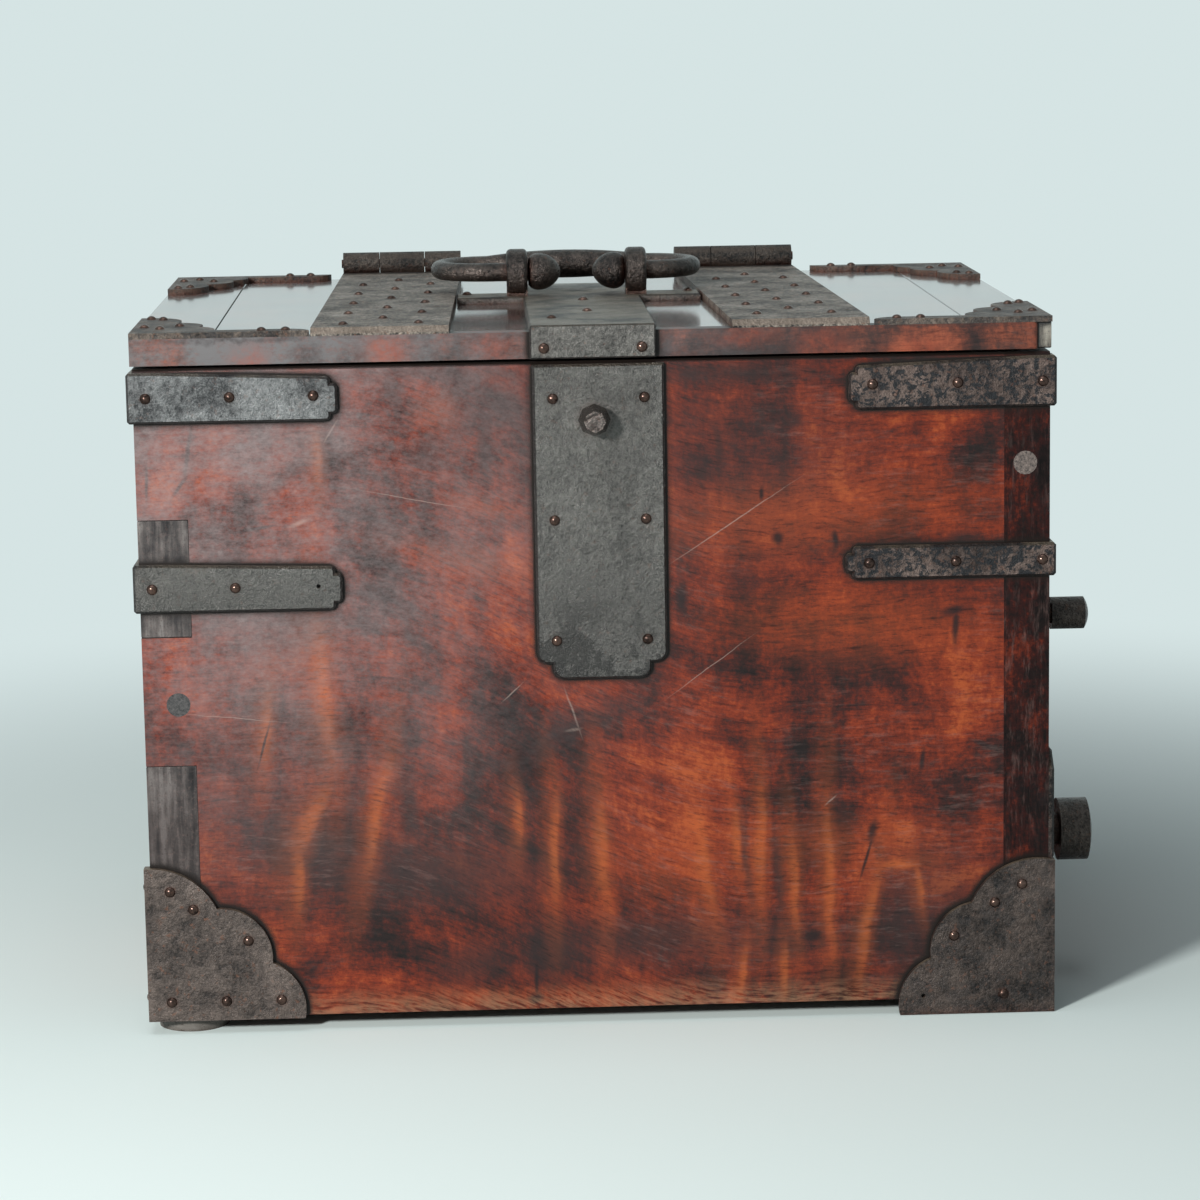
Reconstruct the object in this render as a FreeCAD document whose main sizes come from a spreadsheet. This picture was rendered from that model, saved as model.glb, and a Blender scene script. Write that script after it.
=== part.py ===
"""Ship chest: a joined wooden case with a hinged lid, a top till and two drawers in its right end.

Frame: +Z up with the floor at z = 0, +X to the right and -Y towards the viewer.
The origin is on the floor under the middle of the wooden case. All sizes are millimetres.
"""
import FreeCAD, Part
import math
import os
import re
import Sketcher

os.makedirs("parts", exist_ok=True)
doc = FreeCAD.newDocument("ShipChest")
Vector = FreeCAD.Vector

# ---------------------------------------------------------------- driving sizes
SIZES = {
    # wooden case
    "width": 460, "depth": 345, "case_height": 334, "foot_height": 8,
    "wall": 20, "left_wall": 25.5, "right_wall": 23.2, "stile_width": 40,
    "bottom_thick": 12, "shelf_thick": 10,
    "lower_opening": 121, "upper_opening": 92,
    "finger_height": 66, "top_finger": 76,
    "plug_diameter": 12, "plug_depth": 14, "left_plug_rise": 163.5, "right_plug_drop": 56,
    "left_plug_inset": 17.5, "right_plug_inset": 12.5,
    "foot_diameter": 36, "foot_inset_end": 18.6, "foot_inset_front": 20,
    # lid
    "lid_gap": 1.5, "lid_thick": 13.5, "lid_overhang": 1, "lid_rear_gap": 0.5,
    "rail_depth": 11, "rail_short": 7, "rail_round": 2.5,
    "batten_width": 41, "tongue_thick": 5, "tongue_length": 10, "shoulder_gap": 0.8,
    # corner irons of the case
    "iron_thick": 3, "iron_bevel": 1.2, "iron_reach": 80,
    "lobe_one_out_left": 36.5, "lobe_one_out_right": 43, "lobe_one_up": 58.5,
    "lobe_two_out": 64, "lobe_two_up": 29.5,
    "lobe_radius_top": 37, "lobe_radius_middle": 26, "lobe_radius_toe": 26,
    "corner_nail_left": 13, "corner_nail_right": 17, "right_low_nail": 26.5,
    "left_iron_base": 7, "right_iron_base": 0.3, "stile_leaf": 38,
    # straps round the corners
    "strap_height": 25.5, "strap_fall": 3.3, "strap_reach": 105, "rim_bevel": 1.7, "rear_strap_reach": 88,
    "waist_reach_left": 105, "waist_reach_right": 107, "waist_fall_left": 2.5,
    "waist_height_left": 24.5, "waist_height_right": 17,
    "waist_base_left": 219, "waist_base_right": 228.3,
    "strap_step": 3.5, "strap_round": 2.5, "strap_nail_left": 9.5, "strap_nail_right": 7,
    "jamb_plate_height": 56, "jamb_plate_width": 34, "jamb_plate_taper": 9, "jamb_plate_gap": 0.4,
    # lock plate
    "lock_width": 66, "lock_drop": 160, "lock_top_gap": 1.5, "lock_shift": 2.4,
    "lock_step": 8, "lock_round": 6,
    "lock_nail_inset": 10, "lock_nail_top": 17, "lock_nail_end": 20,
    # nails
    "nail_head": 5.4, "nail_rise": 1.7, "nail_shank": 2.2, "nail_length": 8, "nail_edge": 12,
    "nail_low": 10,
    # hinges
    "hinge_spacing": 195, "hinge_shift": -1.9, "left_hinge_splay": 6.8, "right_hinge_splay": 9.1,
    "hinge_width": 69, "hinge_thick": 4, "hinge_bevel": 3, "hinge_rise": 9,
    "knuckle_radius": 6.5, "middle_knuckle": 26, "knuckle_gap": 0.35, "knuckle_room": 0.7,
    "pin_radius": 2.5, "pin_clearance": 0.08, "pin_overrun": 1,
    "back_leaf_thick": 3.5, "back_leaf_drop": 96,
    "hinge_nail_column": 19, "left_hinge_nail_first": 18.5, "left_hinge_nail_pitch": 58,
    "right_hinge_nail_first": 31, "right_hinge_nail_pitch": 54,
    # plate across the middle of the lid
    "centre_thick": 3.5, "stem_width": 63, "stem_back": 72, "cross_depth": 27, "cross_back": 16,
    "arm_gap": 0.5,
    "centre_bevel": 0.8, "stem_nail_first": 36, "stem_nail_second": 72, "stem_nail_last": 24,
    "turn_nail_inset": 7, "turn_nail_rise": 5.4,
    # flat corner irons of the lid
    "lid_iron_strip": 11, "lid_iron_side": 84,
    "lid_lobe_start": 41, "lid_lobe_two_out": 33, "lid_lobe_two_in": 31,
    "lid_lobe_three_out": 20, "lid_lobe_three_in": 55, "lid_iron_tip": 7,
    "lid_lobe_radius": 17, "lid_lobe_radius_tip": 21, "lid_strip_round": 13,
    "lid_nail_edge": 5.5, "lid_lobe_nail_out": 23, "lid_lobe_nail_in": 36,
    "lid_heel_nail_out": 14, "lid_heel_nail_in": 22,
    # carrying bail
    "post_spacing": 64.5, "post_shift": -2.3, "post_width": 11.3,
    "eye_ring_radius": 12.5, "eye_ring_round": 2.5,
    "rod_radius": 5, "bail_clearance": 0.08, "bail_rise": 12.7,
    "bail_loop_radius": 26, "bail_straight": 86.4,
    "bail_shift": -7.2, "grip_swell": 2.8,
    "bulb_gap": 0.4, "bulb_neck": 7, "bulb_radius": 10, "bulb_swell": 5.5,
    "bulb_length": 17.5, "bulb_tip": 1.5,
    "post_shank": 4, "post_rivet_radius": 7, "post_rivet_thick": 3,
    # latch
    "latch_drop": 29, "spindle_radius": 4, "spindle_clearance": 0.08,
    "knob_base_radius": 8.2, "knob_face_radius": 5.4, "knob_neck_radius": 5.5,
    "knob_neck": 4, "knob_head": 10,
    "hub_length": 8, "hub_gap": 0.3, "cam_thick": 4, "cam_hub_radius": 9, "cam_reach": 26,
    "cam_width": 10, "nut_thick": 6, "nut_radius": 7, "spindle_overrun": 1.5,
    "keeper_thick": 3, "keeper_width": 12, "keeper_ledge": 15, "keeper_foot": 24,
    "keeper_clearance": 4, "ledge_clearance": 2, "keeper_overlap": 1,
    # drawers
    "drawer_side_gap": 0.75, "drawer_top_gap": 0.75, "drawer_base_gap": 0.3,
    "drawer_front_thick": 18, "drawer_side": 9, "drawer_bottom": 6, "drawer_side_drop": 6,
    "drawer_back_gap": 6, "guide_height": 18,
    "knob_spread": 210, "knob_stem_radius": 4,
    "small_knob_radius": 8.5, "small_knob_reach": 31, "small_knob_head": 20, "small_knob_crown": 2.5,
    "small_knob_neck": 5.5,
    "drum_knob_radius": 16.5, "drum_knob_reach": 33, "drum_knob_head": 18, "drum_knob_crown": 2.5,
    "drum_knob_neck": 8.5,
}

# ---------------------------------------------------------------- places worked out from them
PLACES = {
    "half_width": "width / 2",
    "back": "depth / 2",
    "front": "-depth / 2",
    "inner_front": "front + wall",
    "inner_back": "back - wall",
    "inner_left": "left_wall - half_width",
    "inner_right": "half_width - right_wall",
    "opening_half": "back - stile_width",
    "case_bottom": "foot_height",
    "case_top": "case_bottom + case_height",
    "floor_top": "case_bottom + bottom_thick",
    "divider_bottom": "floor_top + lower_opening",
    "divider_top": "divider_bottom + shelf_thick",
    "till_bottom": "divider_top + upper_opening",
    "till_floor_top": "till_bottom + shelf_thick",
    "finger_one": "case_bottom + finger_height",
    "finger_two": "finger_one + finger_height",
    "finger_three": "finger_two + finger_height",
    "finger_four": "case_top - top_finger",
    "plug_left": "left_plug_inset - half_width",
    "plug_right": "half_width - right_plug_inset",
    "lid_bottom": "case_top + lid_gap",
    "lid_top": "lid_bottom + lid_thick",
    "lid_half": "half_width + lid_overhang",
    "lid_back": "back - lid_rear_gap",
    "rail_back": "front + rail_depth",
    "rail_end": "lid_half - rail_short",
    "panel_half": "lid_half - batten_width",
    "outer_x": "half_width + iron_thick",
    "outer_y": "back + iron_thick",
    "strap_top": "case_top - rim_bevel",
    "lock_top": "case_top - lock_top_gap",
    "hinge_height": "lid_top + hinge_rise",
    "leaf_room": "knuckle_radius + knuckle_room",
    "strap_tail": "back - leaf_room",
    "strap_front_edge": "hinge_spacing / 2 + left_hinge_splay - hinge_shift + hinge_width / 2",
    "lid_iron_reach": "lid_half - strap_front_edge - arm_gap",
    "centre_top": "lid_top + centre_thick",
    "cross_front": "cross_back - cross_depth",
    "bail_height": "centre_top + bail_rise",
    "bulb_face": "post_spacing / 2 - post_width / 2 - bulb_gap",
    "latch_height": "case_top - latch_drop",
    "cam_front": "inner_front + hub_gap + hub_length",
    "cam_back": "cam_front + cam_thick",
    "keeper_front": "cam_front - keeper_overlap",
    "keeper_tab": "cam_reach + keeper_clearance",
    "ledge_top": "latch_height - cam_width / 2 - ledge_clearance",
    "drawer_half": "opening_half - drawer_side_gap",
    "drawer_front_back": "half_width - drawer_front_thick",
    "drawer_tail": "inner_left + drawer_back_gap",
}

ZERO = "0"
WORD = re.compile(r"\b[a-z][a-z_]+\b")
sheet = doc.addObject("Spreadsheet::Sheet", "Sizes")
places = doc.addObject("Spreadsheet::Sheet", "Places")


def in_sheet(formula):
    """A formula written in plain words, as the document reads it."""
    def full_name(match):
        word = match.group(0)
        return f"Sizes.{word}" if word in SIZES else f"Places.{word}"
    return WORD.sub(full_name, str(formula))


for row, (word, amount) in enumerate(SIZES.items(), start=1):
    sheet.set(f"A{row}", word.replace("_", " "))
    sheet.set(f"B{row}", str(amount))
    sheet.setAlias(f"B{row}", word)
doc.recompute()
for row, (word, formula) in enumerate(PLACES.items(), start=1):
    places.set(f"A{row}", word.replace("_", " "))
    places.set(f"B{row}", "=" + in_sheet(formula))
    places.setAlias(f"B{row}", word)
doc.recompute()


def number(formula):
    """The value of a formula now."""
    return float(sheet.evalExpression(in_sheet(formula)))


def tie(item, **formulas):
    """Bind properties to formulas. Two underscores in a name stand for a dot."""
    for target, formula in formulas.items():
        item.setExpression(target.replace("__", "."), in_sheet(formula))


# ---------------------------------------------------------------- building blocks
nodes = {}
TURN = {
    "top": FreeCAD.Rotation(),
    "bottom": FreeCAD.Rotation(Vector(1, 0, 0), 180),
    "front": FreeCAD.Rotation(Vector(1, 0, 0), 90),
    "back": FreeCAD.Rotation(Vector(1, 0, 0), -90),
    "right": FreeCAD.Rotation(Vector(0, 1, 0), 90),
    "left": FreeCAD.Rotation(Vector(0, 1, 0), -90),
}
PLANE_ROLE = {"top": "XY_Plane", "front": "XZ_Plane", "side": "YZ_Plane"}


def keep(item, label):
    """Give a finished sub-part the name of its node."""
    item.Label = label
    nodes[label] = item
    return item


def place(item, x, y, z):
    tie(item, Placement__Base__x=x, Placement__Base__y=y, Placement__Base__z=z)
    return item


def block(name, x, y, z):
    """A box between two formulas on each axis."""
    item = doc.addObject("Part::Box", name)
    tie(item, Length=f"({x[1]}) - ({x[0]})", Width=f"({y[1]}) - ({y[0]})", Height=f"({z[1]}) - ({z[0]})")
    return place(item, x[0], y[0], z[0])


def rod(name, facing, radius, length, x, y, z):
    """A cylinder that starts at a point and runs the way it faces."""
    item = doc.addObject("Part::Cylinder", name)
    item.Placement = FreeCAD.Placement(Vector(), TURN[facing])
    tie(item, Radius=radius, Height=length)
    return place(item, x, y, z)


def fuse(name, items):
    item = doc.addObject("Part::MultiFuse", name)
    item.Shapes = items
    item.Refine = True
    return item


def cut(name, base, tool):
    item = doc.addObject("Part::Cut", name)
    item.Base = base
    item.Tool = tool
    return item


def group(name, items):
    item = doc.addObject("Part::Compound", name)
    item.Links = items
    return item


def new_body(name):
    return doc.addObject("PartDesign::Body", name)


def new_sketch(body, name, plane, offset):
    """A sketch on one of the body's own planes, moved along the plane's normal."""
    sketch = body.newObject("Sketcher::SketchObject", name)
    origin_plane = [item for item in body.Origin.OriginFeatures if item.Role == PLANE_ROLE[plane]][0]
    sketch.AttachmentSupport = [(origin_plane, "")]
    sketch.MapMode = "FlatFace"
    tie(sketch, AttachmentOffset__Base__z=offset)
    return sketch


def draw(sketch, corners):
    """Draw a closed outline. A corner is (across, up); with a third entry, the edge that
    starts there is an arc of that radius, which bulges out of the shape."""
    points = [(number(corner[0]), number(corner[1])) for corner in corners]
    count = len(points)
    pairs = [(points[index], points[(index + 1) % count]) for index in range(count)]
    turning = sum(a[0] * b[1] - b[0] * a[1] for a, b in pairs)
    ends = []
    for corner, (start, finish) in zip(corners, pairs):
        if len(corner) == 2:
            edge = sketch.addGeometry(Part.LineSegment(Vector(*start, 0), Vector(*finish, 0)), False)
            ends.append((edge, 1, 2))
            continue
        radius = number(corner[2])
        half_chord = math.dist(start, finish) / 2
        along = ((finish[0] - start[0]) / (2 * half_chord), (finish[1] - start[1]) / (2 * half_chord))
        inward = (-along[1], along[0]) if turning > 0 else (along[1], -along[0])
        depth = math.sqrt(radius * radius - half_chord * half_chord)
        centre = [(start[axis] + finish[axis]) / 2 + inward[axis] * depth for axis in (0, 1)]
        first, last = (start, finish) if turning > 0 else (finish, start)
        angles = [math.atan2(point[1] - centre[1], point[0] - centre[0]) for point in (first, last)]
        circle = Part.Circle(Vector(*centre, 0), Vector(0, 0, 1), radius)
        edge = sketch.addGeometry(Part.ArcOfCircle(circle, angles[0], angles[1]), False)
        ends.append((edge, 1, 2) if turning > 0 else (edge, 2, 1))
    for index, (edge, head, tail) in enumerate(ends):
        next_edge, next_head, _ = ends[(index + 1) % count]
        sketch.addConstraint(Sketcher.Constraint("Coincident", edge, tail, next_edge, next_head))
    for corner, (edge, head, tail) in zip(corners, ends):
        for kind, formula in (("DistanceX", corner[0]), ("DistanceY", corner[1])):
            number_of = sketch.addConstraint(Sketcher.Constraint(kind, -1, 1, edge, head, number(formula)))
            sketch.setExpression(f"Constraints[{number_of}]", in_sheet(formula))
        if len(corner) == 3:
            number_of = sketch.addConstraint(Sketcher.Constraint("Radius", edge, number(corner[2])))
            sketch.setExpression(f"Constraints[{number_of}]", in_sheet(corner[2]))


def pad(body, name, plane, offset, corners, thickness):
    """Pad an outline along the plane's normal: up, towards the viewer or to the right."""
    sketch = new_sketch(body, name + "_outline", plane, offset)
    draw(sketch, corners)
    feature = body.newObject("PartDesign::Pad", name)
    feature.Profile = sketch
    tie(feature, Length=thickness)
    sketch.Visibility = False
    return feature


def bevel(body, name, directions, size):
    """Bevel every edge of the faces that look furthest out along the given directions."""
    doc.recompute()
    shape = body.Tip.Shape
    chosen = []
    for direction in directions:
        facing = [
            (index, face) for index, face in enumerate(shape.Faces, start=1)
            if face.Surface.TypeId == "Part::GeomPlane" and face.normalAt(0, 0).isEqual(direction, 1e-6)
        ]
        furthest = max(facing, key=lambda entry: entry[1].CenterOfMass.dot(direction))
        chosen.append(f"Face{furthest[0]}")
    plain = body.Tip
    feature = body.newObject("PartDesign::Chamfer", name)
    feature.Base = (plain, chosen)
    tie(feature, Size=size)
    return feature


def revolve(name, profile):
    """A turned piece about its own +Z. The profile is (radius, height) from foot to tip."""
    body = new_body(name)
    sketch = new_sketch(body, name + "_profile", "front", ZERO)
    draw(sketch, profile)
    feature = body.newObject("PartDesign::Revolution", name + "_turned")
    feature.Profile = sketch
    feature.ReferenceAxis = (sketch, ["V_Axis"])
    feature.Angle = 360
    sketch.Visibility = False
    return body


def copy_of(original, name, facing, x, y, z):
    item = doc.addObject("App::Link", name)
    item.LinkedObject = original
    item.Placement = FreeCAD.Placement(Vector(), TURN[facing])
    return place(item, x, y, z)


def dome_radius(base_radius, rise):
    """Radius of the sphere that a dome of this base and rise is cut from."""
    return f"(({base_radius}) ^ 2 + ({rise}) ^ 2) / (2 * ({rise}))"


# ---------------------------------------------------------------- nails
# A hammered nail: a low dome on a round shank. Its own zero is the underside of the dome.
nail_pattern = revolve("nail_pattern", [
    (ZERO, "-nail_length"),
    ("nail_shank / 2", "-nail_length"),
    ("nail_shank / 2", ZERO),
    ("nail_head / 2", ZERO, dome_radius("nail_head / 2", "nail_rise")),
    (ZERO, "nail_rise"),
])
# An empty nail hole: a tool that passes right through a plate and out at both sides.
hole_pattern = revolve("hole_pattern", [
    (ZERO, "-2 * iron_thick"),
    ("nail_shank / 2", "-2 * iron_thick"),
    ("nail_shank / 2", "iron_thick"),
    (ZERO, "iron_thick"),
])
nail_groups = {}


def nail_row(group_name, facing, spots):
    """Nails of one group, each at the face its head sits on."""
    row = [copy_of(nail_pattern, f"{group_name}_nail", facing, *spot) for spot in spots]
    nail_groups.setdefault(group_name, []).extend(row)
    return row


def nailed(label, plate, fixings):
    """The finished plate, with a hole for each of its fixings."""
    return keep(cut(label, plate, group(label + "_fixings", fixings)), label)


# ---------------------------------------------------------------- wooden case
plugs = []
for face, facing in (("front", "back"), ("back", "front")):
    plugs.append(rod("plug", facing, "plug_diameter / 2", "plug_depth",
                     "plug_left", face, "case_bottom + left_plug_rise"))
    plugs.append(rod("plug", facing, "plug_diameter / 2", "plug_depth",
                     "plug_right", face, "case_top - right_plug_drop"))
joint_plugs = keep(group("plugs", plugs), "joint_plugs")

# The long top edges of the case are bevelled from end to end.
rims = []
for side in ("-", ""):
    rim = new_body("rim_tool")
    pad(rim, "rim", "side", "-half_width", [
        (f"{side}back", "case_top - rim_bevel"),
        (f"{side}back", "case_top"),
        (f"{side}(back - rim_bevel)", "case_top"),
    ], "width")
    rims.append(rim)
case_cuts = group("case_cuts", plugs + rims)

spindle_hole = rod("spindle_hole", "back", "spindle_radius + spindle_clearance", "3 * wall",
                   ZERO, "front - wall", "latch_height")

BOARD_FINGERS = (("case_bottom", "finger_one"), ("finger_two", "finger_three"), ("finger_four", "case_top"))
END_FINGERS = (("finger_one", "finger_two"), ("finger_three", "finger_four"))


def long_board(name, y):
    """A front or back board with the fingers that reach through the left end."""
    pieces = [block(name + "_board", ("inner_left", "inner_right"), y, ("case_bottom", "case_top"))]
    for z in BOARD_FINGERS:
        pieces.append(block(name + "_finger", ("-half_width", "inner_left"), y, z))
    return cut(name + "_trimmed", fuse(name + "_joined", pieces), case_cuts)


keep(cut("front_board", long_board("front", ("front", "inner_front")), spindle_hole), "front_board")
keep(long_board("rear", ("inner_back", "back")), "back_board")

end_pieces = [block("end_board", ("-half_width", "inner_left"), ("inner_front", "inner_back"),
                    ("case_bottom", "case_top"))]
for y_range in (("front", "inner_front"), ("inner_back", "back")):
    for z_range in END_FINGERS:
        end_pieces.append(block("end_finger", ("-half_width", "inner_left"), y_range, z_range))
keep(fuse("end_joined", end_pieces), "left_end_board")

END_X = ("inner_right", "half_width")
STILES = (("front_stile", ("front", "-opening_half")), ("rear_stile", ("opening_half", "back")))
for label, y_range in STILES:
    stile = block(label + "_blank", END_X, y_range, ("case_bottom", "case_top"))
    keep(cut(label, stile, case_cuts), label)


def shelf(label, z):
    """A board across the case whose front edge shows between the stiles."""
    inside = block(label + "_inside", ("inner_left", "inner_right"), ("inner_front", "inner_back"), z)
    edge = block(label + "_edge", END_X, ("-opening_half", "opening_half"), z)
    keep(fuse(label, [inside, edge]), label)


shelf("bottom_board", ("case_bottom", "floor_top"))
shelf("drawer_divider", ("divider_bottom", "divider_top"))
keep(block("till_floor", ("inner_left", "inner_right"), ("inner_front", "inner_back"),
           ("till_bottom", "till_floor_top")), "till_floor")
till_end = block("till_end", END_X, ("-opening_half", "opening_half"), ("till_bottom", "case_top"))
keep(till_end, "till_end_board")

guides = []
for base in ("floor_top", "divider_top"):
    for y_range in (("inner_front", "-opening_half"), ("opening_half", "inner_back")):
        z_range = (base, f"{base} + guide_height")
        guides.append(block("guide", ("inner_left", "inner_right"), y_range, z_range))
keep(group("guides", guides), "drawer_guides")

feet = []
for side in ("", "-"):
    for face in ("", "-"):
        feet.append(rod("foot", "top", "foot_diameter / 2", "foot_height",
                        f"{side}(half_width - foot_inset_end)", f"{face}(back - foot_inset_front)",
                        ZERO))
keep(group("pads", feet), "feet")

# ---------------------------------------------------------------- irons that wrap the case's corners
# Each corner is (name, sign along x, sign along y). Leaves start at the outer corner line.
CORNERS = (("front_left", "-", "-"), ("front_right", "", "-"), ("back_left", "-", ""), ("back_right", "", ""))


def signed(sign, formula):
    return f"{sign}({formula})"


def add_leaf(body, name, part, sign_x, sign_y, outline):
    """Pad one leaf. The outline is (distance from the corner line, height, arc radius)."""
    if part == "long":
        plane, sign, outer = "front", sign_x, "outer_x"
        offset = "back" if sign_y else "-outer_y"
    else:
        plane, sign, outer = "side", sign_y, "outer_y"
        offset = "-outer_x" if sign_x else "half_width"
    corners = [(signed(sign, f"{outer} - ({corner[0]})"),) + tuple(corner[1:]) for corner in outline]
    return pad(body, name, plane, offset, corners, "iron_thick")


def lobed_outline(base, lobe_one_out):
    return [
        (ZERO, base),
        ("iron_reach", base, "lobe_radius_toe"),
        ("lobe_two_out", f"{base} + lobe_two_up", "lobe_radius_middle"),
        (lobe_one_out, f"{base} + lobe_one_up", "lobe_radius_top"),
        (ZERO, f"{base} + iron_reach"),
    ]


def stile_outline(base):
    return [
        (ZERO, base),
        ("stile_leaf", base),
        ("stile_leaf", f"{base} + lobe_one_up", "lobe_radius_top"),
        (ZERO, f"{base} + iron_reach"),
    ]


def strap_outline(base, height, fall, reach):
    """A bar whose free end steps in twice, with rounded steps. Its top edge falls towards that end."""
    step = f"{reach} - strap_step"
    top = f"{base} + {height} - {fall}"
    return [
        (ZERO, base),
        (f"{step} - strap_round", base, "strap_round"),
        (step, f"{base} + strap_round"),
        (step, f"{base} + strap_step"),
        (f"{reach} - strap_round", f"{base} + strap_step", "strap_round"),
        (reach, f"{base} + strap_step + strap_round"),
        (reach, f"{top} - strap_step - strap_round", "strap_round"),
        (f"{reach} - strap_round", f"{top} - strap_step"),
        (step, f"{top} - strap_step"),
        (step, f"{top} - strap_round", "strap_round"),
        (f"{step} - strap_round", top),
        ("nail_edge", f"{base} + {height}"),
        (ZERO, f"{base} + {height}"),
    ]


def face_spots(part, sign_x, sign_y, spots):
    """Nail places on a leaf, given as (distance from the corner line, height)."""
    if part == "long":
        return [(signed(sign_x, f"outer_x - ({out})"), signed(sign_y, "outer_y"), up) for out, up in spots]
    return [(signed(sign_x, "outer_x"), signed(sign_y, f"outer_y - ({out})"), up) for out, up in spots]


def facing_of(part, sign_x, sign_y):
    if part == "long":
        return "front" if sign_y else "back"
    return "left" if sign_x else "right"


def wrap_iron(label, nail_group, sign_x, sign_y, outlines, spots, bare_holes, bevelled):
    """An iron with one leaf on the long face and one on the end, nailed through both."""
    body = new_body(label + "_plate")
    fixings = []
    for part in ("long", "end"):
        add_leaf(body, f"{label}_{part}_leaf", part, sign_x, sign_y, outlines[part])
        facing = facing_of(part, sign_x, sign_y)
        fixings += nail_row(nail_group, facing, face_spots(part, sign_x, sign_y, spots[part]))
    for spot in face_spots("long", sign_x, sign_y, bare_holes):
        fixings.append(copy_of(hole_pattern, label + "_hole", facing_of("long", sign_x, sign_y), *spot))
    if bevelled:
        outward = [Vector(0, -1 if sign_y else 1, 0), Vector(-1 if sign_x else 1, 0, 0)]
        bevel(body, label + "_bevel", outward, "iron_bevel")
    nailed(label, body, fixings)


for corner_name, sign_x, sign_y in CORNERS:
    left = sign_x == "-"
    near = sign_y == "-"
    base = "left_iron_base" if left else "right_iron_base"
    side = "left" if left else "right"
    lobe_one_out = f"lobe_one_out_{side}"
    far_toe = ("iron_reach - nail_edge", f"{base} + nail_low")
    lobed_spots = [
        (f"corner_nail_{side}", f"{base} + iron_reach - nail_edge"),
        (f"{lobe_one_out} - nail_edge", f"{base} + lobe_one_up"),
        ("lobe_two_out - nail_edge", f"{base} + lobe_two_up + nail_edge"),
        far_toe,
    ]
    if left:
        lobed_spots += [("nail_edge", f"{base} + nail_low"), ("iron_reach / 2", f"{base} + nail_low")]
    else:
        lobed_spots.append(("right_low_nail", f"{base} + nail_low"))
    stile_spots = [("stile_leaf / 2", f"{base} + iron_reach - nail_edge"),
                   ("stile_leaf / 2", f"{base} + iron_reach / 2"),
                   ("stile_leaf / 2", f"{base} + nail_low")]
    missing = [far_toe] if near and not left else []
    long_spots = [spot for spot in lobed_spots if spot not in missing]
    wrap_iron(f"corner_iron_{corner_name}", "corner_iron_nails", sign_x, sign_y,
              {"long": lobed_outline(base, lobe_one_out),
               "end": lobed_outline(base, lobe_one_out) if left else stile_outline(base)},
              {"long": long_spots, "end": lobed_spots if left else stile_spots}, missing, False)

    first_nail = f"strap_nail_{side}"
    waist_fall = "waist_fall_left" if left else ZERO
    bands = (
        ("upper_strap", "strap_top - strap_height", "strap_height", "strap_fall", "strap_reach"),
        ("waist_strap", f"waist_base_{side}", f"waist_height_{side}", waist_fall, f"waist_reach_{side}"),
    )
    for band, base, height, fall, reach in bands:
        long_reach = reach if near else "rear_strap_reach"
        end_reach = reach if left else "stile_leaf"
        middle = f"{base} + {height} / 2"
        long_spots = [(first_nail, middle),
                      (f"({first_nail} + {long_reach} - nail_edge) / 2", middle),
                      (f"{long_reach} - nail_edge", middle)]
        end_spots = [(f"{end_reach} - nail_edge", middle)]
        if left:
            end_spots.append((f"{end_reach} / 2", middle))
        missing = long_spots[2:] if (band, corner_name) == ("waist_strap", "front_left") else []
        long_spots = [spot for spot in long_spots if spot not in missing]
        wrap_iron(f"{band}_{corner_name}", "strap_nails", sign_x, sign_y,
                  {"long": strap_outline(base, height, fall, long_reach),
                   "end": strap_outline(base, height, fall, end_reach)},
                  {"long": long_spots, "end": end_spots}, missing, True)

# Guard plates on the stiles beside the lower drawer, just above the corner irons.
guard_plates = []
guard_fixings = []
guard_base = "right_iron_base + iron_reach + jamb_plate_gap"
guard_top = f"{guard_base} + jamb_plate_height"
for sign_y in ("-", ""):
    guard = new_body("guard_plate")
    pad(guard, "guard", "side", "half_width", [
        (signed(sign_y, "back"), guard_base),
        (signed(sign_y, "back - jamb_plate_width"), guard_base),
        (signed(sign_y, "back - jamb_plate_width"), f"{guard_top} - jamb_plate_taper"),
        (signed(sign_y, "back - jamb_plate_width + jamb_plate_taper"), guard_top),
        (signed(sign_y, "back - jamb_plate_taper"), guard_top),
        (signed(sign_y, "back"), f"{guard_top} - jamb_plate_taper"),
    ], "iron_thick")
    bevel(guard, "guard_bevel", [Vector(1, 0, 0)], "iron_bevel")
    guard_plates.append(guard)
    middle_y = signed(sign_y, "back - jamb_plate_width / 2")
    guard_fixings += nail_row("corner_iron_nails", "right", [
        ("outer_x", middle_y, f"{guard_base} + nail_edge"),
        ("outer_x", middle_y, f"{guard_top} - nail_edge"),
    ])
nailed("jamb_plates", group("guards", guard_plates), guard_fixings)

# ---------------------------------------------------------------- lock plate
lock = new_body("lock_blank")
lock_base = "lock_top - lock_drop"
lock_left = "lock_shift - lock_width / 2"
lock_right = "lock_shift + lock_width / 2"
pad(lock, "lock_pad", "front", "back", [
    (lock_right, "lock_top"),
    (lock_left, "lock_top"),
    (lock_left, f"{lock_base} + lock_step + lock_round", "lock_round"),
    (f"{lock_left} + lock_round", f"{lock_base} + lock_step"),
    (f"{lock_left} + lock_step", f"{lock_base} + lock_step"),
    (f"{lock_left} + lock_step", f"{lock_base} + lock_round", "lock_round"),
    (f"{lock_left} + lock_step + lock_round", lock_base),
    (f"{lock_right} - lock_step - lock_round", lock_base, "lock_round"),
    (f"{lock_right} - lock_step", f"{lock_base} + lock_round"),
    (f"{lock_right} - lock_step", f"{lock_base} + lock_step"),
    (f"{lock_right} - lock_round", f"{lock_base} + lock_step", "lock_round"),
    (lock_right, f"{lock_base} + lock_step + lock_round"),
], "iron_thick")
bevel(lock, "lock_bevel", [Vector(0, -1, 0)], "iron_bevel")
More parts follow.
